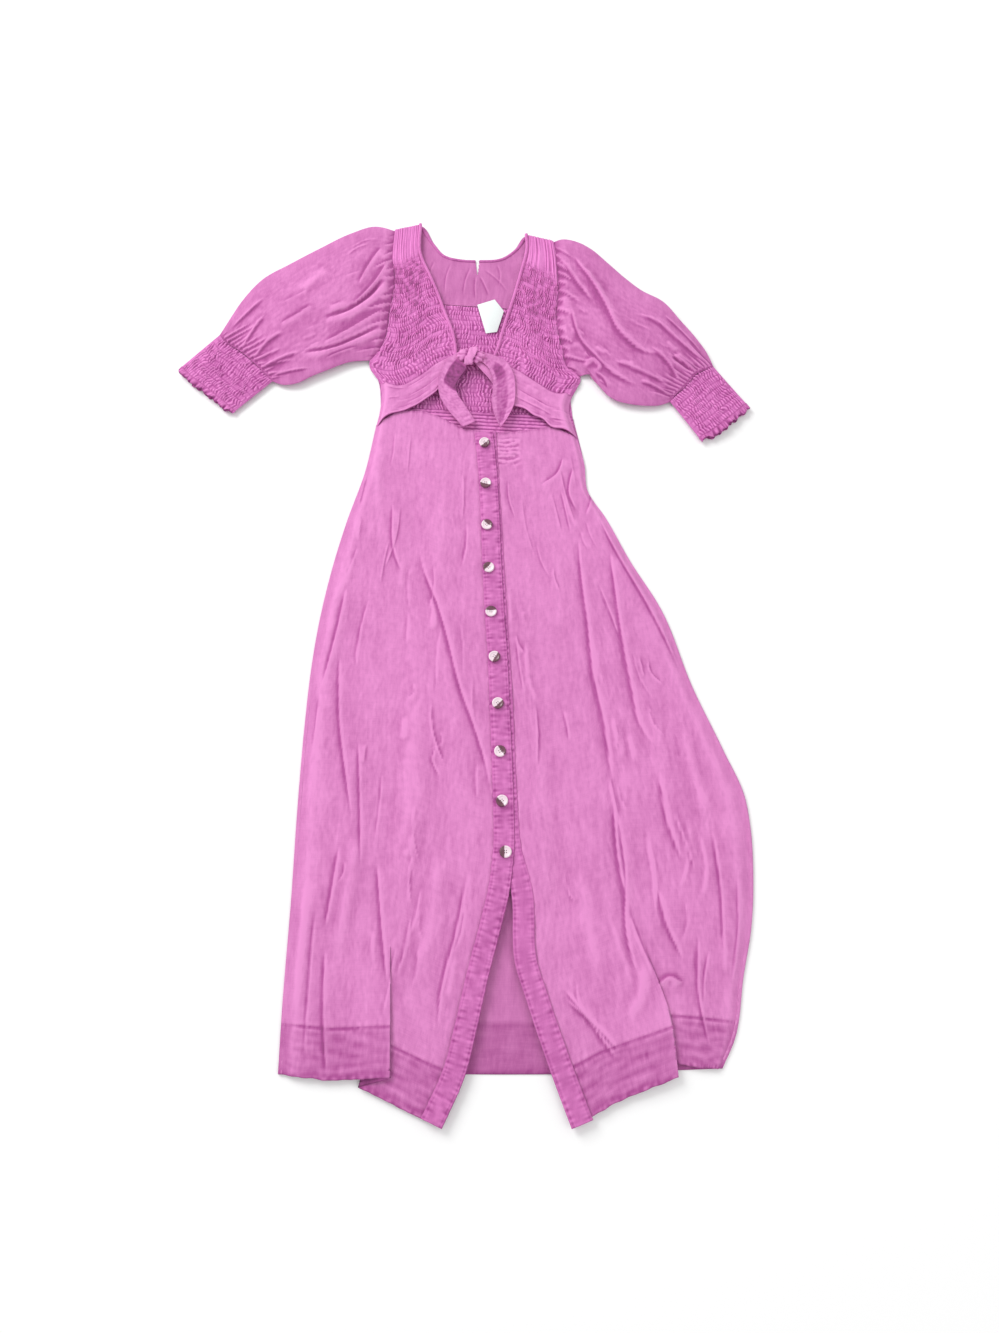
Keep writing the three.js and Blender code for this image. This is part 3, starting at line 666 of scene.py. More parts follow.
def skirt_back(s, t):
    edges = [(-133, 368)] + SIDE_RIGHT[1:], [(187, 343)] + SIDE_LEFT[1:]
    hem = [(-235, -668), (-60, -668), (140, -668), (366, -661)]
    spot = patch(*edges, [(-133, 368), (187, 343)], hem)(s, t)
    creases = rumple(spot[:, 0], spot[:, 1], 92, 5, 0.6, 0.5)
    return np.column_stack([spot, 1.0 + 0.35 * creases + 0.3 * hemline(s, t, 600, 3)])


def waist_elastic(x, y):
    """The short gathers beside the top button, where elastic is stitched behind the front."""
    stitched = smooth(x, 58, 66) * (1 - smooth(x, 88, 104)) * smooth(y, 250, 262) * (1 - smooth(y, 296, 308))
    rows = 0.5 * np.abs(np.sin(np.pi * (y - 250) / 7.5))
    return stitched * (rows + 1.8 * noise(x / 11, y / 5.5, 61) + 0.8 * noise(x / 5, y / 9, 62))


def gathers(run, away, seed, reach):
    """Short gathers that fan out from an edge and die away."""
    ridge = noise(run / 6.5, away / 70, seed) + 0.5 * noise(run / 3.4, away / 40, seed + 1)
    length = reach * (0.6 + 0.5 * noise(run / 14, 0 * run, seed + 2))
    return 1.5 * ridge * np.exp(-away / length)


def settled(z, low=1.8, high=12.6):
    """Keeps the height of cloth between two levels without flattening it suddenly."""
    middle, half = (low + high) / 2, (high - low) / 2
    return middle + half * np.tanh((z - middle) / half * 0.95)


def hem_dye_and_edge_shade(s, t):
    # The hem is deeper in tone below its stitched line, the stitching is darker, and both edges of the sheet
    # get painted shade.
    stitched = np.exp(-(((t - 0.9372) / 0.0022) ** 2)) * (0.4 + 0.6 * noise(s * 75, t * 9, 33))
    edges = 0.5 * smooth(t, 0.988, 1) + 0.7 * (1 - smooth(t, 0, 0.006))
    return 0.58 * smooth(t, 0.93, 0.94) + 0.5 * stitched + edges


def keep(piece, nodes, body="root"):
    """Hides the parts that a sheet replaces, and fastens the sheet to a body when one is given."""
    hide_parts(*nodes)
    if body:
        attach(piece, body)


def bend(piece):
    """Bakes a piece's place into its mesh."""
    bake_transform(piece)


back = cloth("skirt_back_cloth", 150, 260, skirt_back, (0.62, 1.04), inside, seam=hem_dye_and_edge_shade)
keep(back, ["skirt_back", "hem_back"])

for side, place, across, pattern, flat in (("right", skirt_right, 150, (0.37, 1.06), (0.34, 1.06)),
                                           ("left", skirt_left, 165, (0.42, 1.06), (0.38, 1.06))):
    skirt = cloth(f"skirt_front_{side}_cloth", across, 470, place, pattern, face, seam=hem_dye_and_edge_shade)
    nodes = [f"{part}_{side}" for part in ("skirt_front", "skirt_corner", "hem_front", "hem_corner")]
    keep(skirt, nodes, body=None)
    bend(skirt)


# ---- Plackets

BUTTON_TURNS = [-47, -105, 50, 140, 90, -30, -50, 35, -140, 180]
BUTTON_SHADOW_AND_STITCH_SHIFT = (3.75, 0.64)  # the painted shadow round each button and its buttonhole's stitched ends sit a little off the button, towards its buttonhole


def beside(line, t, step):
    """Places along a line, and the way that is square to it on its left."""
    ahead = along(line, np.minimum(t + step, 1)) - along(line, np.maximum(t - step, 0))
    ahead = ahead / np.linalg.norm(ahead, axis=1)[:, None]
    return along(line, t), np.column_stack([-ahead[:, 1], ahead[:, 0]])


def strip(edge, side, level, seed, lift=0.0, wobble=0.0, puckers=0.9, bumps=0.6, fine=0.36, rounding=1.1):
    """A stitched double strip along its free edge; side is -1 where it lies towards the wearer's right."""
    def at(s, t):
        here, left = beside(edge, t, 0.004)
        across = PLACKET_WIDTH * (s if side > 0 else 1 - s)
        far = across - PLACKET_WIDTH + 3
        spot = here + side * left * across[:, None]
        spot = spot + np.column_stack([wobble * noise(t * 160, s * 0 + 3, seed), 0 * s])
        run = t * 1070
        lines = np.exp(-(((across - 3) / 1.5) ** 2)) + np.exp(-((far / 1.5) ** 2))
        pucker = noise(run / 4.6, across / 22, seed) + 0.8 * noise(run / 9, across / 26, seed + 1)
        near = np.exp(-((across - 3) ** 2) / 40) + np.exp(-(far**2) / 60)
        bumpy = bumps * noise(run / 16, across / 18, seed + 2) + fine * noise(run / 7, across / 9, seed + 3)
        z = level + lift * smooth(t, 0.71, 0.76) - 0.5 * lines + puckers * pucker * near + bumpy
        z = z - rounding * (1 - smooth(across, 0, 2.2))
        z = z - 1.4 * smooth(across, PLACKET_WIDTH - 2.5, PLACKET_WIDTH)
        return np.column_stack([spot, z])
    return at


def strip_dye(s, t):
    patchy = 0.22 * noise(t * 40, s * 1.5, 121)
    stitched = 0.35 * np.exp(-(((s - 0.1) / 0.05) ** 2)) + 0.3 * np.exp(-(((s - 0.88) / 0.05) ** 2))
    return 0.32 + patchy + stitched


def placket_dye_and_shade(s, t):
    """The top strip's dye, with painted shadow along its free edge, the stitched ends of its buttonholes and
    painted shadow round each button.
    """
    # Painted shadow along the free edge.
    dye = strip_dye(s, t) + 1.3 * smooth(s, 0.955, 0.99)
    spot = placket_at(s, t)
    for index in range(1, len(BUTTON_TURNS) + 1):
        low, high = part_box(f"button_{index}")
        x = spot[:, 0] + MIDDLE[0] + BUTTON_SHADOW_AND_STITCH_SHIFT[0] - (low.x + high.x) / 2 / MM
        y = spot[:, 1] + MIDDLE[1] + BUTTON_SHADOW_AND_STITCH_SHIFT[1] - (low.y + high.y) / 2 / MM
        stitched = np.exp(-((y / 1.3) ** 2)) * smooth(-x, 6, 8) * (1 - smooth(-x, 12, 14))
        # Stitched buttonhole ends, and a disc of painted shadow round the button.
        dye = dye + 0.9 * stitched + 0.45 * np.exp(-((np.hypot(x, y) / 11.5) ** 6))
    return dye


placket_at = strip(PLACKET_EDGE, -1, 11.7, 91, wobble=0.7)
placket = cloth("buttonhole_placket", 24, 760, placket_at, (0.062, 1.08), edging, seam=placket_dye_and_shade)
keep(placket, ["placket_buttonhole", "placket_buttonhole_lower"],
     body=None)
bend(placket)

under_at = strip(UNDER_EDGE, 1, 9.8, 111, lift=1.6, puckers=0.75, bumps=0.5, fine=0.0, rounding=1.0)
under = cloth("button_placket", 22, 760, under_at, (0.062, 1.08), edging, seam=strip_dye)
keep(under, ["placket_button", "placket_button_lower"],
     body=None)
bend(under)


# ---- Bodice

def back_smocking(s, t):
    right = [(-128, 582), (-132, 504), (-150, 462), (-137, 410), (-133, 357)]
    left = [(165, 558), (172, 480), (197, 432), (184, 390), (186, 343)]
    spot = patch(right, left, [right[0], left[0]], [right[-1], left[-1]])(s, t)
    return np.column_stack([spot, 0.8 + 3.1 * smocking(s * 300, t * 24, 201, SMOCKING_PITCH)])


# Its seam value darkens the lower edge with painted shadow, over a slightly deeper overall tone.
back_panel = cloth("back_smocking", 270, 190, back_smocking, (0.48, 0.24), smocked, rim=0,
                   seam=lambda s, t: 0.35 + 0.7 * smooth(t, 0.965, 0.99))
keep(back_panel, ["back_smocked_panel"])


YOKE_FOLDS = sorted_folds(
    crease=[
        ([(24, 636), (22, 610), (24, 580)], 4, 1.6),
        ([(30, 636), (40, 612), (48, 590)], 5, 1.6),
        ([(36, 650), (62, 625), (80, 600)], 5, 1.2),
        ([(16, 655), (6, 625), (2, 590)], 6, 1.4),
        ([(-20, 660), (-28, 630), (-30, 595)], 6, 1.3),
        ([(-48, 668), (-56, 640), (-52, 600)], 6, 1.2),
        ([(60, 660), (66, 640), (64, 610)], 5, 1.2),
    ],
    ridge=[
        ([(-70, 690), (-84, 650), (-80, 610)], 7, 1.2),
        ([(100, 680), (104, 640), (98, 600)], 7, 1.2),
    ],
)
SLIT_X = 25.5


def yoke(s, t):
    right = [(-121, 727), (-123, 666), (-119, 621), (-128, 582)]
    left = [(160, 703), (165, 660), (167, 600), (165, 558)]
    spot = patch(right, left, [right[0]] + BACK_NECK + [left[0]], [right[-1], left[-1]])(s, t)
    x, y = spot[:, 0], spot[:, 1]
    rise, dark = folds(x, y, YOKE_FOLDS)
    gathered = 0.7 * np.abs(noise(s * 30, t * 1.3, 211)) * smooth(t, 0.5, 0.95)
    z = 1.8 + gathered + 0.4 * rumple(x, y, 90, 213, 0.8, 0.6) + 0.7 * rise
    slit = np.exp(-(((x - SLIT_X) / 7) ** 2)) * (1 - smooth(t, 0.2, 0.4))
    return np.column_stack([x, y, np.maximum(z - 0.6 * slit, 0.8), 0.7 * dark])


def cut_slit(piece):
    """Opens the narrow slit below the back neckline."""
    middle, foot, rim, half = (SLIT_X + MIDDLE[0]) * MM, 0.632, 0.667, 0.0034
    bm = bmesh.new()
    bm.from_mesh(piece.data)
    gone = []
    for f in bm.faces:
        c = f.calc_center_median()
        if c.y > foot and abs(c.x - middle) < half * min(1, (c.y - foot) / (rim - foot) + 0.25):
            gone.append(f)
    bmesh.ops.delete(bm, geom=gone, context="FACES")
    bm.to_mesh(piece.data)
    bm.free()


yoke_panel = cloth("back_yoke_cloth", 230, 90, yoke, (0.30, 0.15), inside, rim=0.5,
                   seam=lambda s, t: 0.15 + 0.5 * np.exp(-t / 0.03))
cut_slit(yoke_panel)
keep(yoke_panel, ["back_yoke"])


def shirring(s, t):
    right, left = [(-131, 368), (-136, 312)], [(185, 346), (190, 294)]
    spot = patch(right, left, [right[0], left[0]], [right[1], left[1]])(s, t)
    row = t * 8
    line = np.abs(np.sin(np.pi * row))
    dash = noise(s * 44, np.floor(row) * 1.7 + 0.3, 221)
    z = 2.4 + 1.3 * line**0.7 + 1.1 * dash * line
    # The fourth column is painted shade in the hollows along the stitched rows, and painted shadow along the
    # top edge.
    return np.column_stack([spot, z, 0.8 * (1 - line) ** 2 * (0.6 + 0.5 * dash) + 0.8 * np.exp(-t / 0.05)])


# Painted shadow along the top edge, over a deeper overall tone.
shirred = cloth("waist_shirring", 240, 40, shirring, (0.45, 0.05), smocked, rim=0,
                seam=lambda s, t: 0.3 + 0.5 * np.exp(-t / 0.06))
keep(shirred, ["back_waist_shirring"])


def front(side):
    if side < 0:
        flat = patch(ARM_RIGHT + [(-136, 414)], NECK_RIGHT, [ARM_RIGHT[0], NECK_RIGHT[0]], SEAM_RIGHT)
    else:
        flat = patch(NECK_LEFT, ARM_LEFT + [(187, 389)], [NECK_LEFT[0], ARM_LEFT[0]], SEAM_LEFT)

    def at(s, t):
        spot = flat(s, t)
        out = s if side < 0 else 1 - s
        run = out * 140
        plain = 1 - smooth(t, 0.18, 0.27)
        rows = smocking(run + 5 * noise(t * 9, run / 60, 230), (t - 0.2) * 33, 231 + side, SMOCKING_PITCH)
        strips = noise(run / 8, t * 2.2, 235 + side) + 0.5 * noise(run / 4, t * 4, 236)
        z = 6.6 + (1 - plain) * 4.2 * rows + plain * (1.6 + 1.5 * strips)
        turned = 1.2 + 3.2 * smooth(t, 0.82, 0.9)
        z = z - turned * (1 - smooth(out, 0, 0.05)) - 1.0 * (1 - smooth(1 - out, 0, 0.04))
        return np.column_stack([spot, z])
    return at


def band(side):
    if side < 0:
        flat = patch([(-136, 416), (-133, 390), (-134, 361), (-139.5, 325)], [(13, 474), (8, 452)],
                     [(-136, 416), (-103, 406), (-70, 425), (-39, 452), (-12, 467), (13, 474)], BAND_RIGHT)
    else:
        flat = patch([(13, 474), (20, 452)], [(187, 391), (180, 365), (184, 335), (192.5, 305)],
                     [(13, 474), (48, 458), (90, 440), (125, 414), (160, 390), (187, 391)], BAND_LEFT)
    table = scattered(lambda a, b: flat(b, a), 14, 249 + side, 0.12, 0.45)

    def at(s, t):
        spot = flat(s, t)
        x, y = spot[:, 0], spot[:, 1]
        out = s if side < 0 else 1 - s
        lift = smooth(out, 0.75, 1) * 2.2
        rise, dark = folds(x, y, table)
        z = 11.4 + lift + 0.5 * rumple(x, y, -25 * side, 241 + side, 0.8, 2.0) + 0.8 * rise
        z = z + 1.5 * noise(out * 9, t * 1.4, 245 + side) * smooth(t, 0.45, 1)
        z = z + 1.2 * noise(out * 3.5, t, 247) * smooth(out, 0.6, 1)
        z = z - 7.5 * (1 - smooth(out, 0, 0.07)) - 0.7 * (1 - smooth(t, 0, 0.05))
        z = z + 0.8 * smooth(t, 0.9, 0.96) - 1.2 * smooth(t, 0.97, 1)
        return np.column_stack([x, y, z, dark])
    return at


def band_dye_and_shade(s, t):
    # Painted shadow along the lower edge, and a darker line along the top seam.
    return 0.8 * np.exp(-t / 0.04) + 1.0 * np.exp(-(1 - t) / 0.018)


for side, name in ((-1, "right"), (1, "left")):
    panel = cloth(f"front_smocking_{name}", 150, 290, front(side), (0.22, 0.34), smocked, rim=0.6,
                  seam=lambda s, t: 0.05 + 0.2 * smooth(t, 0.2, 0.3))
    keep(panel, [f"front_bodice_{name}"])

for side, name in ((-1, "right"), (1, "left")):
    piece = cloth(f"waist_band_{name}_cloth", 110, 50, band(side), (0.2, 0.09), face, rim=0.8,
                  seam=band_dye_and_shade)
    keep(piece, [f"waist_band_{name}"])


# ---- Edges of the neck, and the side seams

def ribbon(line, width, base, top, seed):
    def at(s, t):
        here, left = beside(line, t, 0.01)
        z = base + top * np.sin(np.pi * np.clip(s, 0, 1)) ** 0.6 + 0.25 * noise(t * 60, s * 2, seed)
        return np.column_stack([here + left * (width * s)[:, None], z])
    return at


def turned(place):
    """The same strip of cloth, counted from its other edge, so that its face is up."""
    return lambda s, t: place(1 - s, t)


def side_seam(line, way):
    def at(s, t):
        spot = ribbon(line, 5, 0, 0, 0)(-s * way, t)[:, :2]
        return np.column_stack([spot, 1.5 + 2.2 * s + 0.5 * noise(t * 190, s, 271 + way)])
    return at


def neck_dye(s, t):
    return 0.3 + 0.4 * np.exp(-(((s - 0.5) / 0.1) ** 2))


for name, place in (("right", turned(ribbon(NECK_RIGHT, -5.5, 8.6, 2.2, 251))),
                    ("left", ribbon(NECK_LEFT, 5.5, 8.6, 2.2, 252))):
    edge = cloth(f"neck_edge_{name}", 8, 150, place, (0.012, 0.29), edging, rim=1.0, seam=neck_dye)
    keep(edge, [f"shoulder_seam_{name}"])

binding_at = turned(ribbon(BACK_NECK, -5, 2.2, 1.2, 261))
binding = cloth("back_neck_binding", 8, 160, binding_at, (0.012, 0.22), edging, rim=0.6,
                seam=lambda s, t: np.full(len(s), 0.8))
cut_slit(binding)
keep(binding, ["neck_binding_left", "neck_binding_right"])

for name, place in (("right", side_seam(BODY_RIGHT + SIDE_RIGHT[1:], -1)),
                    ("left", turned(side_seam(BODY_LEFT + SIDE_LEFT[1:], 1)))):
    seam_piece = cloth(f"side_seam_{name}_cloth", 6, 500, place, (0.012, 1.2), face, rim=0.6)
    keep(seam_piece, [f"side_seam_{name}"])


# ---- Sleeves

SLEEVES = {}
SLEEVES["right"] = {
    "top": [(-157, 734), (-198, 718), (-251, 685), (-301, 652), (-346, 621), (-379, 577), (-398, 541)],
    "low": [(-190, 453), (-225, 437), (-250, 425), (-275, 411), (-297, 409)],
    "arm": ARM_RIGHT,
    "end": [(-411, 511), (-400, 495), (-372, 475), (-350, 455), (-332, 437), (-315, 419)],
    "out": [(-479, 438), (-463, 420), (-438, 398), (-410, 373), (-382, 348)],
    "folds": sorted_folds(
        crease=[
            ([(-140, 690), (-160, 650), (-180, 600)], 9, 2.6),
            ([(-128, 660), (-150, 610), (-175, 575), (-200, 550)], 10, 3.4),
            ([(-130, 560), (-160, 535), (-200, 505), (-240, 480)], 9, 3.4),
            ([(-255, 560), (-285, 535), (-310, 520)], 9, 2.4),
            ([(-395, 520), (-370, 545), (-340, 580)], 7, 2.8),
            ([(-372, 478), (-355, 510), (-335, 545)], 6, 2.8),
            ([(-350, 458), (-330, 485), (-300, 510)], 6, 2.6),
            ([(-335, 440), (-305, 455), (-270, 470)], 6, 2.6),
            ([(-320, 425), (-290, 432), (-250, 440)], 6, 2.0),
            ([(-175, 480), (-200, 470), (-230, 455)], 6, 2.0),
        ],
        tuck=[
            ([(-126, 620), (-150, 580), (-190, 545), (-235, 525)], 10, 3.8),
            ([(-132, 520), (-170, 495), (-220, 470), (-270, 460)], 8, 2.6),
        ],
        ridge=[
            ([(-230, 640), (-260, 610), (-285, 580)], 10, 1.6),
        ],
    )}
SLEEVES["left"] = {
    "top": [(172, 707), (205, 699), (225, 685), (253, 655), (283, 622), (310, 597), (345, 575), (375, 535),
            (400, 500), (415, 475)],
    "low": [(217, 430), (232, 405), (245, 385), (258, 375), (280, 368), (310, 365), (330, 367)],
    "arm": ARM_LEFT,
    "end": [(424, 448), (414, 443), (395, 433), (380, 415), (365, 396), (350, 384), (347, 377)],
    "out": [(481, 362), (466, 345), (440, 322), (418, 306), (398, 296)],
    "folds": sorted_folds(
        crease=[
            ([(172, 665), (200, 610), (225, 570)], 9, 3.0),
            ([(190, 680), (215, 630), (235, 590), (252, 550), (264, 515), (284, 488), (305, 470), (345, 466)],
             12, 4.6),
            ([(185, 570), (205, 490), (230, 455), (250, 430), (300, 400)], 10, 3.4),
            ([(300, 545), (330, 530), (370, 490), (412, 452)], 9, 3.0),
            ([(345, 545), (380, 505), (410, 468)], 8, 2.4),
            ([(320, 478), (345, 450), (368, 405)], 7, 3.0),
            ([(298, 412), (322, 400), (348, 384)], 7, 2.8),
            ([(255, 450), (300, 430), (350, 402)], 8, 2.4),
            ([(225, 430), (238, 415), (246, 395)], 5, 2.6),
        ],
        ridge=[
            ([(205, 640), (230, 600), (250, 550)], 8, 2.4),
            ([(205, 440), (222, 452), (232, 440), (225, 425)], 5, 3.4),
            ([(178, 600), (185, 540), (190, 490)], 8, 1.8),
        ],
        tuck=[
            ([(358, 465), (375, 452), (395, 436)], 8, 3.4),
        ],
    )}


def tube(flat, heights, mirror):
    """A flattened tube: t runs over the top from the upper edge to the lower one and back underneath."""
    def at(s, t):
        v = 1 - s if mirror else s
        over = t <= 0.5
        a = np.where(over, 2 * t, 2 - 2 * t)
        a = 0.5 - 0.5 * np.cos(np.pi * a)
        spot = flat(a, v)
        return np.column_stack([spot, *heights(a, v, over, spot[:, 0], spot[:, 1])])
    return at


def sleeve(name, data, mirror):
    tucked, grain = (1.3, 50) if mirror else (-1.3, 130)
    arm = [(x + tucked, y) for x, y in data["arm"]]
    share = np.linspace(0, 1, 7)
    end = along(data["end"], share)
    end = spots(end + 0.03 * (along(data["out"], share) - end))
    flat = patch([arm[0]] + data["top"] + [end[0]], [arm[-1]] + data["low"] + [end[-1]], arm, end)
    table = (data["folds"] + scattered(flat, 16, 381 + mirror, 0.08, 0.2)
             + strokes(data["end"], arm, 15, 16, 62, 361 + mirror)
             + strokes(arm, data["end"], 15, 14, 55, 371 + mirror))

    def heights(a, v, over, x, y):
        swell = np.sin(np.pi * a) ** 0.55
        puff = 11 + 9 * np.sin(np.pi * np.clip(v * 1.02, 0, 1)) ** 0.7
        puff = puff * (1 - smooth(v, 0.8, 1)) + 12 * smooth(v, 0.8, 1) - 3.2 * (1 - smooth(v, 0, 0.05))
        head = gathers(a * 270, v * 330, 301 + mirror, 26) * smooth(a, 0, 0.08)
        cuff_end = 1.5 * gathers(a * 150, (1 - v) * 330, 311 + mirror, 40) * smooth(a, 0, 0.06)
        rise, dark = folds(x, y, table)
        detail = 0.9 * rumple(x, y, grain, 321 + mirror, 0.9, 1.0) + 0.95 * rise
        edge = smooth(swell, 0.15, 0.75)
        top = puff * 0.5 + puff * 0.5 * swell
        top = np.minimum(top + (detail + 0.25 * head + 0.4 * cuff_end) * edge, SLEEVE_TOP)
        under = rumple(x, y, grain, 333 + mirror, 0.8, 1.2) + 0.5 * head + 0.5 * cuff_end
        below = puff * 0.5 - (puff * 0.5 - 2.2) * swell + 0.7 * under * edge
        # Painted shade in the hollows of the underside.
        dark = np.where(over, dark, np.clip(-0.3 * under, 0, 0.6))
        return np.where(over, top, np.maximum(below, 0.6)), dark

    def dye(s, t):
        v = 1 - s if mirror else s
        # Painted shade over the whole sleeve, deepest as painted shadow at the armhole and cuff ends where
        # other pieces meet it.
        return 0.42 + 0.8 * np.exp(-v / 0.014) + 0.9 * np.exp(-(1 - v) / 0.014)

    piece = cloth(f"sleeve_{name}_cloth", 190, 230, tube(flat, heights, mirror), (0.40, 0.56), face,
                  rim=0, ring=True, seam=dye)
    keep(piece, [f"sleeve_{name}"], body=None)
    return piece


def cuff(name, data, mirror):
    share = np.linspace(0, 1, 6)
    start, rim_line = along(data["end"], share), along(data["out"], share)
    start, frill_start, rim_line = spots(start), spots(rim_line + 0.115 * (start - rim_line)), spots(rim_line)
    flat = patch([start[0], frill_start[0]], [start[-1], frill_start[-1]], start, frill_start)
    frill_flat = patch([frill_start[0], rim_line[0]], [frill_start[-1], rim_line[-1]], frill_start, rim_line)
    gathered_run = 138 if mirror else 110

    def heights(a, v, over, x, y):
        swell = np.sin(np.pi * a) ** 0.5
        tuck = smocking(a * gathered_run + np.where(over, 0, 300), v * 9, 341 + mirror, 5.0)
        ends = smooth(v, 0, 0.06)
        top = 6.3 + 3.4 * swell + 3.8 * tuck * smooth(swell, 0.1, 0.6) * (0.4 + 0.6 * ends)
        below = 6.3 - 4.9 * swell + 0.8 * (1 - tuck) * smooth(swell, 0.3, 0.8)
        return (np.where(over, top - 0.9 * (1 - smooth(v, 0, 0.05)), np.maximum(below, 0.7)),)

    def dye(s, t):
        # Painted shadow where the cuff runs under the sleeve's end, over a deeper tone for the smocking.
        return 0.4 + 0.9 * np.exp(-(1 - s if mirror else s) / 0.03)

    piece = cloth(f"cuff_{name}_smocking", 76, 230, tube(flat, heights, mirror), (0.09, 0.40),
                  smocked, rim=0, ring=True, seam=dye)
    keep(piece, [f"cuff_{name}"], body=f"sleeve_{name}")

    def frill_heights(a, v, over, x, y):
        swell = np.sin(np.pi * a) ** 0.5
        wave = noise(a * 22 + np.where(over, 0, 50), v * 0.6, 351 + mirror)
        wave = (wave + 0.5 * noise(a * 47, v * 0.6, 355)) * v
        top = 6.6 + 3.6 * swell + 3.4 * wave
        below = 5.6 - 3.6 * swell + 1.6 * wave
        # The second column is painted shade in the low parts of the frill's waves.
        return np.where(over, top, np.maximum(below, 0.7)), np.clip(-0.9 * wave, 0, 1)

    def wavy(a, v):
        return frill_flat(a, v * (0.86 + 0.4 * noise(a * 17, 0 * a + 0.5, 357 + mirror)))

    def frill_dye(s, t):
        v = 1 - s if mirror else s
        return 0.45 + 0.5 * (1 - smooth(v, 0, 0.2)) + 0.55 * smooth(v, 0.6, 0.9)

    frill = cloth(f"cuff_{name}_frill", 14, 260, tube(wavy, frill_heights, mirror), (0.014, 0.40),
                  edging, rim=0, ring=True, seam=frill_dye)
    thick(frill, 0.9)
    keep(frill, [f"cuff_frill_{name}"], body=f"sleeve_{name}")


for name, mirror in (("right", 1), ("left", 0)):
    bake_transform(sleeve(name, SLEEVES[name], mirror))
    cuff(name, SLEEVES[name], mirror)


# ---- Ties and knot

def strap(outer, inner, level, fade, sink, seed, cup):
    """A tie end between its outer and inner edges, cupped across, highest at the knot."""
    flat = ribbed([0, 1], [outer, inner])

    def at(s, t):
        z = level + 0.4 * np.exp(-t / fade) - sink * smooth(t, 0.6, 1) + cup * (np.abs(2 * s - 1) ** 2)
        z = z + 0.6 * noise(t * 14, s * 2.5, seed) + 0.4 * noise(t * 30, s * 6, seed + 1)
        return np.column_stack([flat(s, t), z])
    return at


def tie_right_dye_and_shade(s, t):
    edges = 0.4 * (np.exp(-s / 0.07) + np.exp(-(1 - s) / 0.07)) + 0.5 * smooth(t, 0.965, 1)
    # The hollow is painted shade inside the loop of the tie; the edges are darker too.
    painted_shading = smooth(s, 0.24, 0.32) * smooth(t, 0.05, 0.12) * (1 - smooth(t - 0.14 * s, 0.33, 0.38))
    return edges + 2.0 * painted_shading


def tie_left_dye_and_shade(s, t):
    edges = 0.4 * (np.exp(-s / 0.04) + np.exp(-(1 - s) / 0.04))
    # The hollow is painted shade down the tie's cupped centre; the edges are darker too.
    painted_shading = np.exp(-(((s - 0.43) / 0.25) ** 8)) * smooth(t, 0.12, 0.24) * (1 - smooth(t, 0.9, 0.97))
    return edges + (0.8 + 1.0 * (1 - smooth(t, 0.2, 0.45))) * painted_shading


TIE_RIGHT = strap([(-2, 471), (-20, 457), (-32, 434), (-37.5, 409), (-36, 386), (-22, 355), (-2, 328),
                   (4, 320)],
                  [(4, 450), (9, 440), (0, 421), (-8, 405), (-6, 388), (6, 365), (20, 340), (25, 331)],
                  13.8, 0.12, 0.9, 401, 1.2)
TIE_LEFT = strap([(33, 451), (46, 437), (52, 422), (53, 393), (52, 366), (57, 340), (65, 320)],
                 [(34, 469), (55, 462), (76, 450), (88, 426), (91, 396), (88, 362), (78, 338), (66, 319)],
                 13.6, 0.14, 0, 411, 2.0)

for name, place, across, pattern, flat, dye in (
        ("right", TIE_RIGHT, 30, (0.045, 0.17), (0.030, 0.165), tie_right_dye_and_shade),
        ("left", TIE_LEFT, 34, (0.05, 0.17), (0.040, 0.16), tie_left_dye_and_shade)):
    tie = cloth(f"tie_{name}_cloth", across, 110, place, pattern, face, rim=0, seam=dye)
    thick(tie, 0.9)
    keep(tie, [f"tie_end_{name}"], body=f"tie_{name}")


def knot():
    """The knot: a ball of cloth, drawn in at two places, with the folds of the cloth wound round it."""
    middle, half = (16.0, 459.5 - BODICE_DROP, 18.0), (26.5, 18.0, 6.0)
    bm = patterned()
    bmesh.ops.create_uvsphere(bm, u_segments=96, v_segments=64, radius=1, calc_uvs=True)
    mesh = mesh_of(bm, "tie_knot_cloth")
    co = places(mesh)
    lean = math.radians(-14)
    a = co[:, 0] * math.cos(lean) + co[:, 1] * math.sin(lean)
    b = co[:, 1] * math.cos(lean) - co[:, 0] * math.sin(lean)
    wrap = np.exp(-((a / 0.42) ** 2))
    ripple = 0.15 * np.cos(10 * b + 4 * a + 3 * noise(a * 2, b * 2, 421)) * (1 - wrap)
    ripple = ripple + 0.12 * np.cos(12 * a + 5 * b) * wrap
    drawn_in = np.exp(-(((np.abs(a - 0.05) - 0.42) / 0.11) ** 2))
    swell = 1 + 0.16 * wrap - 0.3 * drawn_in + ripple * (0.4 + 0.6 * np.abs(co[:, 2]))
    shape = co * swell[:, None] * np.array(half) / 1.16 + np.array(middle)
    shape[:, :2] += MIDDLE
    mesh.vertices.foreach_set("co", (shape * MM).ravel())
    sized(mesh, (0.12, 0.05))
    # Painted shade in the grooves of the knot and painted highlight on its swellings.
    mark(mesh, "crease", np.clip(-9 * (swell - 0.97), -0.5, 2.4))
    mark(mesh, "seam", np.full(len(co), 0.1))
    piece = finished("tie_knot_cloth", mesh, face)
    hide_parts("tie_knot")
    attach(piece, "root")


knot()

# ---- Buttons

# From the middle of the back round the rim to the middle of the face, as shares of radius and height.
BUTTON_PROFILE = [(0, 0), (0.86, 0), (0.98, 0.22), (1, 0.5), (0.95, 0.84), (0.86, 1), (0.76, 0.98),
                  (0.66, 0.74), (0.48, 0.66), (0.38, 0.65), (0.32, 0.65), (0.26, 0.65), (0.2, 0.65),
                  (0.14, 0.65), (0, 0.64)]


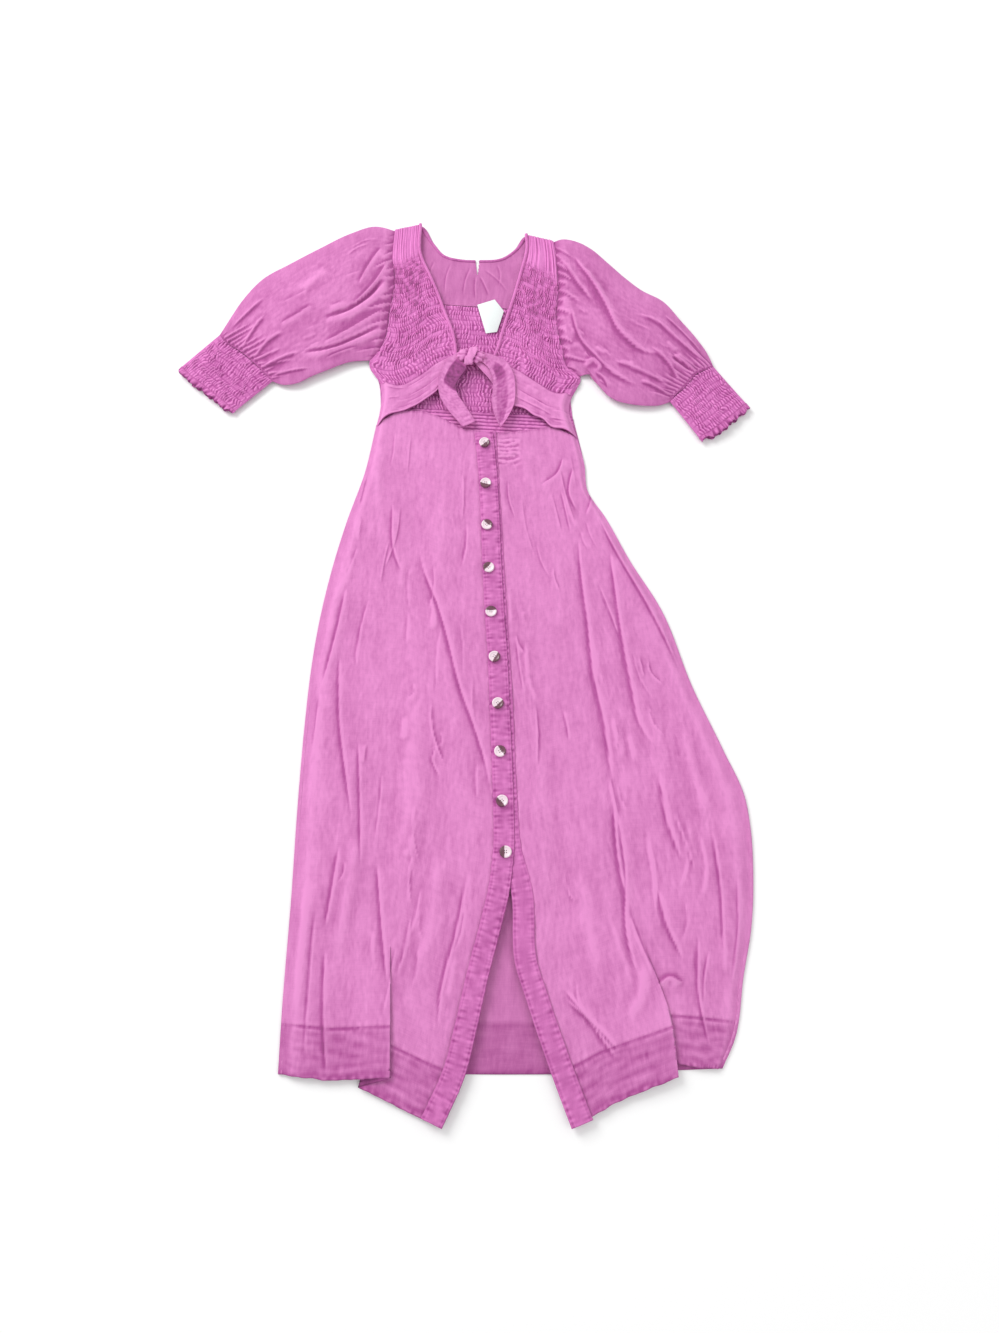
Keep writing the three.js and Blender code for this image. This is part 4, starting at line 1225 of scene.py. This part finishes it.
def button(index, turn):
    """A dished button with a dark side and four holes, turned by an angle in degrees."""
    low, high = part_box(f"button_{index}")
    centre, radius, height = (low + high) / 2, (high.x - low.x) / 2, high.z - low.z
    bm = bmesh.new()
    verts = [bm.verts.new((r * radius, 0, h * height)) for r, h in BUTTON_PROFILE]
    edges = [bm.edges.new(pair) for pair in zip(verts, verts[1:])]
    bmesh.ops.spin(bm, geom=verts + edges, cent=(0, 0, 0), axis=(0, 0, 1), angle=2 * math.pi, steps=48,
                   use_merge=True)
    bmesh.ops.remove_doubles(bm, verts=bm.verts, dist=1e-6)
    bmesh.ops.recalc_face_normals(bm, faces=bm.faces)
    mesh = mesh_of(bm, f"button_{index}_horn")
    co = places(mesh)
    turn = math.radians(turn)
    tone = 0.5 + (co[:, 0] * math.cos(turn) + co[:, 1] * math.sin(turn)) / radius * 0.9 - 0.16
    for quarter in range(4):
        hole = turn + math.pi / 4 + quarter * math.pi / 2
        gap = np.hypot(co[:, 0] / radius - 0.23 * math.cos(hole), co[:, 1] / radius - 0.23 * math.sin(hole))
        pierced = np.exp(-((gap / 0.09) ** 4)) * (co[:, 2] > 0.3 * height)
        # The holes take the dark tone as painted shade, since they are only shallow dips.
        tone = np.maximum(tone, 0.9 * pierced)
        co[:, 2] -= 0.4 * height * pierced
    mesh.vertices.foreach_set("co", co.ravel())
    mark(mesh, "tone", tone)
    mesh.transform(Matrix.Translation((centre.x, centre.y, low.z)))
    piece = finished(mesh.name, mesh, shell)
    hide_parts(f"button_{index}")
    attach(piece, "root")


for index, turn in enumerate(BUTTON_TURNS, 1):
    button(index, turn)

# ---- Swing tag

TAG_CORNERS = [(26, 566), (56, 577), (72, 553), (60, 511), (41, 508)]
TAG_LEVEL, TAG_THICKNESS, TAG_ROUNDING = 0.0042, 0.0006, 0.0002

bm = bmesh.new()
around = [(np.array(corner) + MIDDLE) * MM for corner in reversed(TAG_CORNERS)]
bm.faces.new([bm.verts.new((x, y, TAG_LEVEL)) for x, y in around])
bmesh.ops.recalc_face_normals(bm, faces=bm.faces)
upper = bmesh.ops.extrude_face_region(bm, geom=list(bm.faces))
upper_verts = [v for v in upper["geom"] if isinstance(v, bmesh.types.BMVert)]
bmesh.ops.translate(bm, verts=upper_verts, vec=(0, 0, TAG_THICKNESS))
bmesh.ops.recalc_face_normals(bm, faces=bm.faces)
bmesh.ops.bevel(bm, geom=list(bm.edges), offset=TAG_ROUNDING, affect="EDGES", segments=2, profile=0.5,
                material=-1)
tag = finished("swing_tag_card", mesh_of(bm, "swing_tag_card"), tag_card)
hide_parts("swing_tag")
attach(tag, "tag")

# ---- Floor, light and camera

def area_light(name, spot, size, power):
    light = bpy.data.lights.new(name, "AREA")
    light.size = size
    light.energy = power
    lamp = bpy.data.objects.new(name, light)
    lamp.location = spot
    lamp.rotation_euler = (-Vector(spot)).to_track_quat("-Z", "Y").to_euler()
    bpy.context.scene.collection.objects.link(lamp)


bm = bmesh.new()
bmesh.ops.create_grid(bm, x_segments=1, y_segments=1, size=6)
floor = bpy.data.objects.new("floor", mesh_of(bm, "floor"))
bpy.context.scene.collection.objects.link(floor)
paper, paper_tree, paper_shader = new_material("white paper")
plug(paper_tree, paper_shader, {
    "Base Color": (0.93, 0.93, 0.93, 1),
    "Roughness": 0.9,
    "Specular IOR Level": 0.1,
})
floor.data.materials.append(paper)

area_light("key light", (-2.7, 2.7, 2.7), 2.4, 150)
area_light("fill light", (1.8, -1.2, 2.4), 2.4, 14)

world = bpy.data.worlds.new("studio")
world.use_nodes = True
plug(world.node_tree, world.node_tree.nodes["Background"], {"Color": (1, 1, 1, 1), "Strength": 0.72})
bpy.context.scene.world = world
bpy.context.scene.view_settings.view_transform = "Standard"

camera_data = bpy.data.cameras.new("camera")
camera_data.lens = 27.0
camera_data.sensor_width = 36
camera = bpy.data.objects.new("camera", camera_data)
camera.location = (0.0681, -0.5557, 1.45735)
camera.rotation_euler = (math.radians(17.8), 0, 0)
bpy.context.scene.collection.objects.link(camera)
bpy.context.scene.camera = camera
